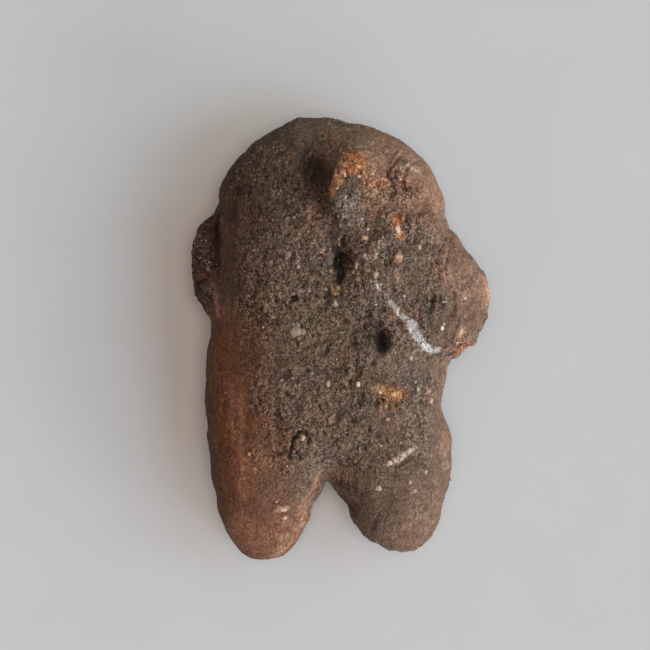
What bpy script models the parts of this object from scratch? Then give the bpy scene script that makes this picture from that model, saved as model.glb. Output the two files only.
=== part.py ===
"""Small hand-modelled figurine of fired clay: a flattened oval body that runs up
into a domed head, a pinched nose with a thumbed hollow beside it, two broken arm
stubs and two short rounded legs. It can't stand on its round feet, so it lies on
its flattened back with its face up.

Frame: metres, +Z up, head towards +Y, the figure's face towards +Z.
Origin: bottom centre of the box around it.
"""

import math

import bmesh
import bpy
from mathutils import Vector
from mathutils.geometry import intersect_point_line

MM = 0.001

# ---- overall -----------------------------------------------------------------
MIDLINE_X = -1.5          # the body's own middle, a little left of the box's
VOXEL = 1.2               # grain of the coarse skin
SKIN_PASSES = 5           # how far the joins are rubbed smooth
SWELL = 0.08              # the clay lost by rubbing, put back
RESTS_AT = 0.0            # the flat that was pressed on a table while it was wet

# ---- body: half widths are measured from MIDLINE_X ----------------------------
CROWN_Y, CROWN_X, CROWN_Z = 30.05, -3.7, 9.6
BROW_Y = 18.1             # the dome of the head springs here
CROWN_LEFT_POWER, CROWN_RIGHT_POWER, CROWN_DEPTH_POWER = 1.64, 1.86, 2.1
SEAT_Y = -16.9            # lowest point of the trunk, between the legs
SEAT_SPRING_Y = -11.0
FRONT_POWER, BACK_POWER = 2.4, 2.15   # 2 is an oval section, more is a rounded slab
#            Y     left  right  front  back
SIDES = {
    "hip":      (-16.0, 16.3, 16.6, 16.6, 0.9),
    "waist":    (-8.6, 16.75, 15.35, 17.8, 0.0),
    "belly":    (-1.0, 16.3, 15.95, 18.6, -0.45),
    "chest":    (7.0, 15.6, 16.4, 18.9, -0.4),
    "shoulder": (13.5, 15.1, 16.5, 18.3, 0.0),
    "brow":     (BROW_Y, 15.15, 15.85, 17.4, 0.8),
}
RINGS, SPOKES = 34, 56

# ---- legs: top, bend and tip of each ------------------------------------------
LEG_END_POWER = 1.78
#            Y     middle  half  front  back
LEFT_LEG = {
    "bend":  (-21.6, -9.9, 6.75, 15.1, 1.2),
    "crotch": (-19.2, -9.65, 7.5, 15.7, 1.0),
    "thigh": (-14.0, -9.8, 8.1, 16.3, 0.9),
    "root":  (-7.0, -9.9, 8.2, 16.5, 1.0),
}
LEFT_TIP = (-10.0, -30.1, 7.6)
RIGHT_LEG = {
    "bend":  (-21.6, 7.2, 7.1, 15.2, 1.1),
    "crotch": (-19.2, 7.0, 7.85, 15.8, 0.9),
    "thigh": (-14.0, 6.9, 8.2, 16.4, 0.8),
    "root":  (-7.0, 5.2, 8.2, 16.6, 0.9),
}
RIGHT_TIP = (8.5, -28.95, 7.9)

# ---- arm stubs ---------------------------------------------------------------
LEFT_ARM = {"at": (-15.7, 10.0, 8.2), "radii": (4.4, 7.3, 5.2), "lean": -3.0}
RIGHT_ARM = {"at": (12.5, 5.3, 10.4), "radii": (7.9, 8.7, 6.1), "lean": 0.0}
ARM_FLATNESS = 3.0        # 2 is a round lump, more has a flatter front and back
# Planes that cut a stub where it broke: a point on the break and its outward way
LEFT_BREAKS = (((-20.05, 10.0, 8.2), (-1.0, 0.0, 0.10)),
               ((-18.6, 4.4, 8.0), (-0.75, -0.66, 0.0)),
               ((-18.4, 15.6, 8.0), (-0.62, 0.78, 0.12)))
RIGHT_BREAKS = (((20.1, 4.0, 9.0), (1.0, 0.0, 0.14)),
                ((18.35, 10.3, 9.0), (0.80, 0.60, 0.05)),
                ((18.3, -0.9, 9.0), (0.62, -0.78, -0.1)))

# ---- pressed and pinched in the wet clay: (x, y) and sizes across and along ----
NOSE_TOP, NOSE_TIP = (0.9, 25.2), (0.35, 17.6)
NOSE_HEIGHT, NOSE_HALF = 2.1, 1.75
LEFT_SOCKET = {"at": (-2.75, 21.2), "half": (1.9, 2.7), "depth": 2.3}
RIGHT_SOCKET = {"from": (5.0, 17.7), "to": (13.4, 17.0), "half": 1.25, "depth": 1.0}
CHEST_STEP = {"from": (-0.5, 18.5), "to": (1.9, 6.5), "rise": 0.75, "fade": 7.0}
MOUTH_HOLE = {"at": (0.75, 10.4), "radii": (0.8, 1.5), "depth": 2.6}
NAVEL_HOLE = {"at": (6.0, 0.1), "radii": (0.85, 1.75), "depth": 2.4}
HOLE_SPOKES = 14


def smoothstep(t):
    t = min(1.0, max(0.0, t))
    return t * t * (3.0 - 2.0 * t)


def along(table, y, column):
    """A size at height y, eased from one named station to the next (Catmull-Rom)."""
    rows = sorted(table.values())
    if y <= rows[0][0]:
        return rows[0][column]
    if y >= rows[-1][0]:
        return rows[-1][column]
    i = max(k for k in range(len(rows) - 1) if rows[k][0] <= y)
    a, b = rows[i], rows[i + 1]
    before, after = rows[max(i - 1, 0)], rows[min(i + 2, len(rows) - 1)]
    span = b[0] - a[0]
    t = (y - a[0]) / span
    slope_a = (b[column] - before[column]) / max(b[0] - before[0], 1e-9) * span
    slope_b = (after[column] - a[column]) / max(after[0] - a[0], 1e-9) * span
    return ((2 * t**3 - 3 * t**2 + 1) * a[column] + (t**3 - 2 * t**2 + t) * slope_a
            + (-2 * t**3 + 3 * t**2) * b[column] + (t**3 - t**2) * slope_b)


def superround(t, power):
    """How wide a rounded end still is at t, from 0 at its spring to 1 at its tip."""
    t = min(1.0, max(0.0, t))
    return (1.0 - t**power) ** (1.0 / power)


def section(centre_x, y, centre_z, left, right, front, back):
    """One closed ring round the body in the plane of y."""
    ring = []
    for k in range(SPOKES):
        turn = 2.0 * math.pi * k / SPOKES
        c, s = math.cos(turn), math.sin(turn)
        power = FRONT_POWER if s >= 0 else BACK_POWER
        x = math.copysign(abs(c) ** (2.0 / power), c) * (right if c >= 0 else left)
        z = math.copysign(abs(s) ** (2.0 / power), s) * (front if s >= 0 else back)
        ring.append(Vector((centre_x + x, y, centre_z + z)))
    return ring


def loft(name, rings, first_pole, last_pole):
    """A closed skin over rings of equal count, with a pole at each end."""
    bm = bmesh.new()
    made = [[bm.verts.new(p * MM) for p in ring] for ring in rings]
    count = len(rings[0])
    for a, b in zip(made, made[1:]):
        for k in range(count):
            n = (k + 1) % count
            bm.faces.new((a[k], a[n], b[n], b[k]))
    for ring, pole, flip in ((made[0], first_pole, True), (made[-1], last_pole, False)):
        tip = bm.verts.new(Vector(pole) * MM)
        for k in range(count):
            n = (k + 1) % count
            bm.faces.new((ring[n], ring[k], tip) if flip else (ring[k], ring[n], tip))
    bmesh.ops.recalc_face_normals(bm, faces=bm.faces)
    return keep(name, bm)


def keep(name, bm):
    mesh = bpy.data.meshes.new(name)
    bm.to_mesh(mesh)
    bm.free()
    obj = bpy.data.objects.new(name, mesh)
    bpy.context.scene.collection.objects.link(obj)
    return obj


def helper(obj):
    """A shape that only joins or cuts another."""
    obj.hide_render = True
    obj.display_type = "WIRE"
    return obj


def trunk():
    """Head and body in one: the sides follow SIDES, the crown and the seat close over."""
    rings = []
    for k in range(RINGS):
        t = (k + 1) / (RINGS + 1)
        y = SEAT_Y + (CROWN_Y - SEAT_Y) * 0.5 * (1.0 - math.cos(math.pi * t))
        left, right = along(SIDES, y, 1), along(SIDES, y, 2)
        front, back = along(SIDES, y, 3), along(SIDES, y, 4)
        middle_x, middle_z = MIDLINE_X, 0.5 * (front + back)
        if y > BROW_Y:
            t_up = (y - BROW_Y) / (CROWN_Y - BROW_Y)
            lean = smoothstep(t_up)
            middle_x = MIDLINE_X + (CROWN_X - MIDLINE_X) * lean
            middle_z += (CROWN_Z - middle_z) * lean
            left_edge = CROWN_X - (CROWN_X - (MIDLINE_X - left)) * superround(t_up, CROWN_LEFT_POWER)
            right_edge = CROWN_X + ((MIDLINE_X + right) - CROWN_X) * superround(t_up, CROWN_RIGHT_POWER)
            left, right = middle_x - left_edge, right_edge - middle_x
            left, right = max(left, 0.4), max(right, 0.4)
            depth = superround(t_up, CROWN_DEPTH_POWER)
            front = middle_z + (along(SIDES, BROW_Y, 3) - CROWN_Z) * depth
            back = middle_z - (CROWN_Z - along(SIDES, BROW_Y, 4)) * depth
        elif y < SEAT_SPRING_Y:
            close = superround((SEAT_SPRING_Y - y) / (SEAT_SPRING_Y - SEAT_Y), 2.6)
            left, right = left * close, right * close
            front = middle_z + (front - middle_z) * close
            back = middle_z - (middle_z - back) * close
        rings.append(section(middle_x, y, middle_z, left, right,
                             front - middle_z, middle_z - back))
    seat_z = 0.5 * (SIDES["hip"][3] + SIDES["hip"][4])
    return loft("trunk", rings, (MIDLINE_X, SEAT_Y, seat_z), (CROWN_X, CROWN_Y, CROWN_Z))


def leg(name, sizes, tip):
    """A short tapering leg that rounds off to a blunt point."""
    bend_y, bend_x, bend_half, bend_front, bend_back = sizes["bend"]
    root_y, root_x, _, root_front, root_back = sizes["root"]
    tip_x, tip_y, tip_z = tip
    rings, count = [], 26
    for k in range(count):
        y = root_y + (tip_y - root_y) * math.sin(0.5 * math.pi * k / count)
        if y > bend_y:
            x, half, front, back = (along(sizes, y, c) for c in (1, 2, 3, 4))
            middle_z = 0.5 * (front + back)
        else:
            s = (bend_y - y) / (bend_y - tip_y)
            x = bend_x + (tip_x - bend_x) * s
            half = bend_half * superround(s, LEG_END_POWER)
            middle_z = 0.5 * (bend_front + bend_back)
            middle_z += (tip_z - middle_z) * s
            depth = 0.5 * (bend_front - bend_back) * superround(s, 1.9)
            front, back = middle_z + depth, middle_z - depth
        rings.append(section(x, y, middle_z, half, half, front - middle_z, middle_z - back))
    return loft(name, rings, (root_x, root_y + 0.5, 0.5 * (root_front + root_back)), tip)


def arm(name, sizes, breaks):
    """What is left of an arm: a flattened lump cut by the planes it broke along."""
    bm = bmesh.new()
    bmesh.ops.create_icosphere(bm, subdivisions=4, radius=1.0)
    lean = math.radians(sizes["lean"])
    for v in bm.verts:
        flat = (math.hypot(v.co.x, v.co.y) ** ARM_FLATNESS + abs(v.co.z) ** ARM_FLATNESS) ** (-1.0 / ARM_FLATNESS)
        x, y, z = (v.co[i] * flat * sizes["radii"][i] for i in range(3))
        x, y = x * math.cos(lean) - y * math.sin(lean), x * math.sin(lean) + y * math.cos(lean)
        v.co = (Vector((x, y, z)) + Vector(sizes["at"])) * MM
    for point, way in breaks:
        everything = bm.verts[:] + bm.edges[:] + bm.faces[:]
        cut = bmesh.ops.bisect_plane(bm, geom=everything, dist=1e-7, plane_co=Vector(point) * MM,
                                     plane_no=Vector(way), clear_outer=True)
        rim = [g for g in cut["geom_cut"] if isinstance(g, bmesh.types.BMEdge)]
        if rim:
            bmesh.ops.contextual_create(bm, geom=rim)
    bmesh.ops.recalc_face_normals(bm, faces=bm.faces)
    return keep(name, bm)


def rubbed_together(body, limbs):
    """The limbs joined to the trunk and the joins rubbed smooth, as one skin."""
    for limb in limbs:
        join = body.modifiers.new("join_" + limb.name, "BOOLEAN")
        join.operation, join.solver, join.object = "UNION", "EXACT", limb
    skin = body.modifiers.new("skin", "REMESH")
    skin.mode, skin.voxel_size, skin.adaptivity = "VOXEL", VOXEL * MM, 0.0
    rub = body.modifiers.new("rub", "SMOOTH")
    rub.factor, rub.iterations = 0.5, SKIN_PASSES
    bpy.context.view_layer.update()
    made = bpy.data.meshes.new_from_object(body.evaluated_get(bpy.context.evaluated_depsgraph_get()))
    for obj in [body, *limbs]:
        bpy.data.objects.remove(obj)
    return made


def bump(distance, half):
    return math.exp(-((distance / half) ** 2))


def pressed(x, y):
    """How far the front stands above (+) or below (-) the plain body at (x, y), in mm."""
    rise = 0.0
    top, tip, here = Vector(NOSE_TOP), Vector(NOSE_TIP), Vector((x, y))
    on_line, share = intersect_point_line(here, top, tip)
    share = min(1.0, max(0.0, share))
    nearest = top.lerp(tip, share)
    rise += NOSE_HEIGHT * (0.55 + 0.45 * math.sin(math.pi * (0.15 + 0.7 * share))) * bump((here - nearest).length, NOSE_HALF)
    dx = (x - LEFT_SOCKET["at"][0]) / LEFT_SOCKET["half"][0]
    dy = (y - LEFT_SOCKET["at"][1]) / LEFT_SOCKET["half"][1]
    rise -= LEFT_SOCKET["depth"] * bump(math.hypot(dx, dy), 1.0)
    a, b = Vector(RIGHT_SOCKET["from"]), Vector(RIGHT_SOCKET["to"])
    on_line, share = intersect_point_line(here, a, b)
    nearest = a.lerp(b, min(1.0, max(0.0, share)))
    rise -= RIGHT_SOCKET["depth"] * bump((here - nearest).length, RIGHT_SOCKET["half"])
    a, b = Vector(CHEST_STEP["from"]), Vector(CHEST_STEP["to"])
    way = (b - a).normalized()
    side = (here - a).cross(way) * -1.0
    down = (here - a).dot(way)
    ends = smoothstep(down / 2.5 + 1.0) * smoothstep(((b - a).length - down) / 2.5 + 1.0)
    if side > -1.2:
        rise += CHEST_STEP["rise"] * smoothstep((side + 1.2) / 2.4) * math.exp(-max(0.0, side) / CHEST_STEP["fade"]) * ends
    return rise


def swell_and_press(mesh):
    """Puts back what the rubbing took, then moves the front as pressed() says."""
    normals = [v.normal.copy() for v in mesh.vertices]
    for v, n in zip(mesh.vertices, normals):
        p = v.co / MM + n * SWELL
        if n.z > 0.0:
            p.z += pressed(p.x, p.y) * smoothstep(n.z / 0.6)
        v.co = p * MM


def centre_over_origin(mesh):
    """Moves the skin sideways so that the box around it is centred on the origin."""
    xs, ys = [v.co.x for v in mesh.vertices], [v.co.y for v in mesh.vertices]
    shift = Vector((-0.5 * (min(xs) + max(xs)), -0.5 * (min(ys) + max(ys)), 0.0))
    for v in mesh.vertices:
        v.co += shift


def front_at(mesh, x, y):
    """Height of the front over (x, y), in mm."""
    near = sorted((v for v in mesh.vertices if v.normal.z > 0.2),
                  key=lambda v: (v.co.x / MM - x) ** 2 + (v.co.y / MM - y) ** 2)[:4]
    return sum(v.co.z for v in near) / len(near) / MM


def hole(name, sizes, top):
    """A blunt stick pressed into the clay: a tapering oval plug, to be cut away."""
    (x, y), (rx, ry), depth = sizes["at"], sizes["radii"], sizes["depth"]
    rings = []
    for level, share in ((1.5, 1.12), (0.0, 1.0), (-0.55 * depth, 0.82), (-0.88 * depth, 0.5)):
        rings.append([Vector((x + rx * share * math.cos(2 * math.pi * k / HOLE_SPOKES),
                              y + ry * share * math.sin(2 * math.pi * k / HOLE_SPOKES),
                              top + level)) for k in range(HOLE_SPOKES)])
    return helper(loft(name, rings, (x, y, top + 1.5), (x, y, top - depth)))


def clay():
    material = bpy.data.materials.new("fired_clay")
    material.use_nodes = True
    shader = material.node_tree.nodes["Principled BSDF"]
    shader.inputs["Base Color"].default_value = (0.105, 0.062, 0.042, 1.0)
    shader.inputs["Roughness"].default_value = 0.88
    shader.inputs["Metallic"].default_value = 0.0
    return material


def main():
    for obj in list(bpy.data.objects):
        bpy.data.objects.remove(obj)
    limbs = [leg("left_leg", LEFT_LEG, LEFT_TIP), leg("right_leg", RIGHT_LEG, RIGHT_TIP),
             arm("left_arm", LEFT_ARM, LEFT_BREAKS), arm("right_arm", RIGHT_ARM, RIGHT_BREAKS)]
    mesh = rubbed_together(trunk(), limbs)
    swell_and_press(mesh)
    centre_over_origin(mesh)
    mesh.name = "figurine"
    figurine = bpy.data.objects.new("figurine", mesh)
    bpy.context.scene.collection.objects.link(figurine)
    mesh.materials.clear()
    mesh.materials.append(clay())

    cuts = [hole("mouth_hole", MOUTH_HOLE, front_at(mesh, *MOUTH_HOLE["at"])),
            hole("navel_hole", NAVEL_HOLE, front_at(mesh, *NAVEL_HOLE["at"]))]
    bm = bmesh.new()
    bmesh.ops.create_cube(bm, size=1.0)
    for v in bm.verts:
        v.co = Vector((v.co.x * 80.0, v.co.y * 90.0, v.co.z * 10.0 + RESTS_AT - 5.0)) * MM
    cuts.append(helper(keep("table_top", bm)))
    for cutter in cuts:
        cut = figurine.modifiers.new("cut_" + cutter.name, "BOOLEAN")
        cut.operation, cut.solver, cut.object = "DIFFERENCE", "EXACT", cutter
    mesh.shade_smooth()


main()
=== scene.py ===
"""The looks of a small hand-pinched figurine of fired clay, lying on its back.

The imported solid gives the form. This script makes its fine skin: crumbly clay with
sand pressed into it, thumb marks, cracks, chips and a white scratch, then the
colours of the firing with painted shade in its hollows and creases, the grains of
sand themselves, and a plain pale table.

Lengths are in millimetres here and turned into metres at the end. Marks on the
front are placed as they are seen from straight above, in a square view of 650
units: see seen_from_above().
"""

import math

import bpy
import numpy as np
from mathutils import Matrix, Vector


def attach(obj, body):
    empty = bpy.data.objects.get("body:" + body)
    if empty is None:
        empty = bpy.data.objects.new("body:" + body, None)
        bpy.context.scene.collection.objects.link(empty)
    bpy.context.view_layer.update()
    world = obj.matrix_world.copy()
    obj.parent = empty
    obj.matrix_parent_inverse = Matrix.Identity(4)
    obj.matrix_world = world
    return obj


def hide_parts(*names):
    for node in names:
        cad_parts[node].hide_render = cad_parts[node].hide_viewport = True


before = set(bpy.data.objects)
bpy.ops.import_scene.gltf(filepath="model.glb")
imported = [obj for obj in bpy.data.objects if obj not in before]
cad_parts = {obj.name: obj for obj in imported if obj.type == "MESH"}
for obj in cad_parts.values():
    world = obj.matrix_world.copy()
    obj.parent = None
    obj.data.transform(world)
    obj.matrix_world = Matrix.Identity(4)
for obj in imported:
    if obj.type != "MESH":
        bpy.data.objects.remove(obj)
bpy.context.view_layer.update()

MM = 0.001

# ---- the view from above -----------------------------------------------------
VIEW = 650                     # units across
UNIT = 0.13514                 # mm of the figurine per unit, at the height LEVEL
LEVEL = 9.0
EYE_ABOVE = 366.0              # mm from LEVEL up to the eye
EYE_X, EYE_Y = -1.95, 1.8

# ---- the skin ----------------------------------------------------------------
FINE = 0.20     # mm between the skin's points
RUB = 24          # rounds that rub the solid's facets away
MOST_TRIANGLES = 196000
CALM_FROM, CALM = 18.9, 1.8             # heights above the first are drawn in, in mm

# ---- colours of the clay, linear ------------------------------------------------
CHEST = (0.137, 0.086, 0.058)
SOOT_DOME = (0.072, 0.043, 0.027)
CROWN_LEFT = (0.124, 0.081, 0.054)
CROWN_RIGHT = (0.245, 0.145, 0.094)
FOREHEAD = (0.300, 0.165, 0.109)
RIGHT_RIM = (0.290, 0.170, 0.117)
RIGHT_CHEST = (0.158, 0.102, 0.075)
RIGHT_LEG = (0.160, 0.102, 0.073)
# painted shade for the right leg's inner side, which faces away from the light
RIGHT_LEG_INNER_SHADE = (0.100, 0.062, 0.040)
RIGHT_LEG_OUTER = (0.196, 0.117, 0.082)
SOOT_ARM = (0.052, 0.026, 0.015)
SOOT_FLANK = (0.066, 0.034, 0.019)
RED_FLANK = (0.113, 0.042, 0.017)
RED_HIP = (0.148, 0.064, 0.032)
LEG_END = (0.184, 0.080, 0.046)
LEG_EDGE = (0.255, 0.137, 0.085)
BACK = (0.120, 0.066, 0.043)
BACK_SOOT = (0.060, 0.038, 0.027)
ORANGE = (0.500, 0.180, 0.062)
OCHRE = (0.420, 0.225, 0.090)
PINK = (0.330, 0.165, 0.110)
RUST = (0.190, 0.072, 0.034)
CHALK = (0.600, 0.500, 0.430)
CREAM = (0.640, 0.470, 0.360)
GLEAM = (0.820, 0.580, 0.440)
PALE = (0.450, 0.340, 0.270)
DULL = (0.320, 0.235, 0.175)
FAINT = (0.300, 0.232, 0.186)
SANDY = (0.450, 0.290, 0.160)
TAWNY = (0.620, 0.370, 0.225)
GREYISH = (0.120, 0.084, 0.062)
ROSE = (0.480, 0.225, 0.140)
# painted shade for the floors of the deeper pits and cracks
HOLLOW_SHADE = (0.022, 0.013, 0.009)


# ==== small mathematics ===========================================================
def step(value, start, end):
    """0 at start, 1 at end, eased, whichever of the two is larger."""
    t = np.clip((value - start) / (end - start), 0.0, 1.0)
    return t * t * (3.0 - 2.0 * t)


def chance(ix, iy, iz, salt):
    """A repeatable number from 0 to 1 for each lattice point."""
    h = (ix * 374761393 + iy * 668265263 + iz * 1440662683 + salt * 974634777) & 0xFFFFFFFF
    h = ((h ^ (h >> 15)) * 2246822519) & 0xFFFFFFFF
    h = ((h ^ (h >> 13)) * 3266489917) & 0xFFFFFFFF
    return (h ^ (h >> 16)).astype(np.float64) / 4294967295.0


def waves(points, size, salt, stretch=(1.0, 1.0, 1.0)):
    """Smooth noise of about -1 to 1 whose waves are size long, longer along stretch."""
    p = points / (size * np.array(stretch))
    i = np.floor(p).astype(np.int64)
    f = p - i
    s = f * f * f * (f * (f * 6.0 - 15.0) + 10.0)
    total = np.zeros(len(p))
    for dx in (0, 1):
        wx = s[:, 0] if dx else 1.0 - s[:, 0]
        for dy in (0, 1):
            wy = s[:, 1] if dy else 1.0 - s[:, 1]
            for dz in (0, 1):
                wz = s[:, 2] if dz else 1.0 - s[:, 2]
                at = (i[:, 0] + dx, i[:, 1] + dy, i[:, 2] + dz)
                slope = sum((2.0 * chance(*at, salt * 7 + k) - 1.0) * (f[:, k] - d)
                            for k, d in enumerate((dx, dy, dz)))
                total += wx * wy * wz * slope
    return total * 1.7


def rough(points, size, salt, octaves=3, gain=0.5, stretch=(1.0, 1.0, 1.0)):
    total, share, whole = np.zeros(len(points)), 1.0, 0.0
    for k in range(octaves):
        total += share * waves(points, size / 2.0**k, salt + 31 * k, stretch)
        whole += share
        share *= gain
    return total / whole


def billow(points, size, salt, octaves=3, gain=0.55, stretch=(1.0, 1.0, 1.0)):
    """Rounded lumps with sharp creases between them, 0 in the creases, about 0.3 in the mean."""
    total, share, whole = np.zeros(len(points)), 1.0, 0.0
    for k in range(octaves):
        total += share * np.abs(waves(points + 3.7 * k, size / 1.9**k, salt + 31 * k, stretch))
        whole += share
        share *= gain
    return total / whole


def crumbs(points, size, salt):
    """Distance to the nearest and to the second nearest of scattered points, and the
    nearest one's own chance number. size is how far apart they lie."""
    p = points / size
    i = np.floor(p).astype(np.int64)
    first = np.full(len(p), 9.0)
    second = np.full(len(p), 9.0)
    own = np.zeros(len(p))
    for dx in (-1, 0, 1):
        for dy in (-1, 0, 1):
            for dz in (-1, 0, 1):
                at = (i[:, 0] + dx, i[:, 1] + dy, i[:, 2] + dz)
                away = sum((at[k] + chance(*at, salt + k) - p[:, k]) ** 2 for k in range(3))
                nearer = away < first
                second = np.where(nearer, first, np.minimum(second, away))
                own = np.where(nearer, chance(*at, salt + 5), own)
                first = np.where(nearer, away, first)
    return np.sqrt(first) * size, np.sqrt(second) * size, own


# ==== marks placed in the view from above =========================================
def seen_from_above(points):
    """Where each point stands in the view: units right of and below its corner."""
    reach = (EYE_ABOVE / UNIT) / (LEVEL + EYE_ABOVE - points[:, 2])
    return VIEW / 2 + (points[:, 0] - EYE_X) * reach, VIEW / 2 - (points[:, 1] - EYE_Y) * reach


def oval(u, v, at, radii, turn=0.0):
    """How far each point is from an oval's middle, in radii. turn is in degrees, clockwise."""
    c, s = math.cos(math.radians(turn)), math.sin(math.radians(turn))
    x, y = u - at[0], v - at[1]
    return np.hypot((x * c + y * s) / radii[0], (-x * s + y * c) / radii[1])


def spot(u, v, at, radii, turn=0.0, edge=0.5):
    """1 inside an oval, 0 outside, soft over edge of its radius."""
    return 1.0 - step(oval(u, v, at, radii, turn), 1.0 - edge, 1.0 + edge)


def from_line(u, v, path):
    """Distance to a bent line, and how far along it (0 to 1) the nearest place is."""
    best, along = np.full(len(u), 1e9), np.zeros(len(u))
    lengths = [math.dist(a, b) for a, b in zip(path, path[1:])]
    whole, done = sum(lengths), 0.0
    for (ax, ay), (bx, by), length in zip(path, path[1:], lengths):
        t = np.clip(((u - ax) * (bx - ax) + (v - ay) * (by - ay)) / length**2, 0.0, 1.0)
        away = np.hypot(u - ax - t * (bx - ax), v - ay - t * (by - ay))
        nearer = away < best
        along = np.where(nearer, (done + t * length) / whole, along)
        best = np.where(nearer, away, best)
        done += length
    return best, along


def across_line(u, v, path):
    """Distance to a bent line, above 0 on the right of someone who walks along it."""
    best, signed = np.full(len(u), 1e9), np.zeros(len(u))
    for (ax, ay), (bx, by) in zip(path, path[1:]):
        dx, dy = bx - ax, by - ay
        t = np.clip(((u - ax) * dx + (v - ay) * dy) / (dx * dx + dy * dy), 0.0, 1.0)
        away = np.hypot(u - ax - t * dx, v - ay - t * dy)
        way = np.where(dx * (v - ay) - dy * (u - ax) > 0.0, 1.0, -1.0)
        signed = np.where(away < best, away * way, signed)
        best = np.minimum(best, away)
    return signed


# Small corrections of the outline: (place, units outwards, radius in units)
RIM = (
    ((311, 118), -2.0, 14), ((345, 121), -1.8, 16), ((288, 121), -0.8, 8), ((276, 129), -3.0, 18), ((243, 153), -1.2, 12), ((438, 186), -1.8, 10),
    ((446, 214), -2.4, 9), ((217, 203), -2.4, 8), ((212, 214), -1.6, 5), ((200, 225), 2.4, 8), ((193, 266), -2.2, 12),
    ((193, 283), -1.6, 5), ((457, 236), 2.2, 8), ((450, 229), -1.2, 6), ((466, 250), -1.2, 7), ((484, 286), -0.2, 14), ((484, 327), -1.0, 8),
    ((479, 334), -1.0, 6), ((475, 343), 2.0, 4), ((465, 350), -3.0, 6), ((452, 360), -2.5, 5), ((446, 378), 2.6, 10),
    ((441, 405), -2.8, 9), ((444, 419), -1.4, 6), ((451, 437), 2.0, 12), ((451, 464), 1.4, 9), ((442, 508), -3.6, 16),
    ((435, 528), -3.0, 9), ((367, 539), 1.8, 10), ((346, 507), -5.0, 13), ((309, 508), -4.0, 13),
    ((301, 531), -4.0, 9), ((280, 556), 1.0, 9), ((258, 558), 1.3, 14), ((231, 538), -0.8, 11), ((215, 495), -1.8, 12),
    ((302, 115), 1.6, 9), ((486, 316), 1.4, 8), ((486, 276), 1.4, 8), ((475, 343), -1.4, 5), ((414, 550), 1.9, 8), ((389, 549), 1.5, 8), ((478, 334), -0.9, 6), ((466, 348), -1.2, 6), ((479, 267), -0.8, 7), ((486, 299), 2.2, 7), ((345, 506), -0.5, 7), ((253, 557), 0.7, 7), ((243, 552), 0.8, 6), ((270, 561), -2.2, 7), ((485, 286), 0.5, 8), ((338, 497), 0.9, 6), ((294, 544), -0.9, 7),
    ((210, 319), -1.8, 7), ((326, 482), -1.6, 6), ((323, 492), 0.6, 6), ((441, 401), 1.4, 7), ((311, 117), -1.2, 8),
    ((209, 330), -2.2, 14), ((206, 380), -2.0, 14), ((207, 420), -1.6, 12), ((209, 455), -1.8, 14),
)

# Edges with a raised side on the right of the path: (path, rise in mm, reach in units)
LEDGES = {
    "nose, left edge": (((322, 214), (327, 199), (331, 180), (336, 165), (344, 151)), 1.05, 24),
    "nose, top edge": (((341, 158), (346, 151), (366, 149), (372, 153)), 0.40, 14),
    "nose, right of the break": (((372, 190), (361, 180), (363, 160)), 0.28, 14),
    "brow, right": (((430, 208), (412, 209), (398, 204), (385, 207), (372, 205)), 0.42, 18),
    "brow lump": (((397, 150), (390, 166), (393, 180), (399, 196)), -0.34, 14),
    "temple lump": (((408, 196), (404, 182), (409, 168), (421, 160)), 0.34, 13),
    "scar, upper edge": (((410, 388), (396, 384), (373, 384)), 0.40, 13),
    "scar, left edge": (((373, 386), (381, 398), (386, 410)), 0.30, 10),
    "eye chip, upper edge": (((405, 219), (397, 213), (389, 216), (387, 228)), 0.30, 9),
    "mouth, left lump": (((330, 236), (333, 252), (334, 268), (328, 284)), 0.42, 16),
    "crack flap": (((306, 428), (298, 431), (290, 441), (288, 460)), 0.30, 13),
    "arm, shoulder": (((453, 233), (449, 246), (444, 258)), 0.30, 14),
    "arm, inner edge": (((444, 268), (452, 284), (456, 303), (456, 322)), -0.20, 12),
    "arm, broken end": (((447, 345), (456, 340), (462, 330), (476, 328)), -0.45, 15),
    "left arm, lower lump": (((192, 284), (203, 281), (213, 286)), 0.55, 12),
    "left arm, upper lump": (((214, 222), (207, 226), (200, 236)), 0.35, 9),
    "body edge by the left arm": (((220, 207), (217, 232), (216, 262), (219, 290)), -0.50, 12),
    "thigh, outer": (((444, 420), (441, 440), (441, 462)), 0.20, 14),
}

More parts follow.
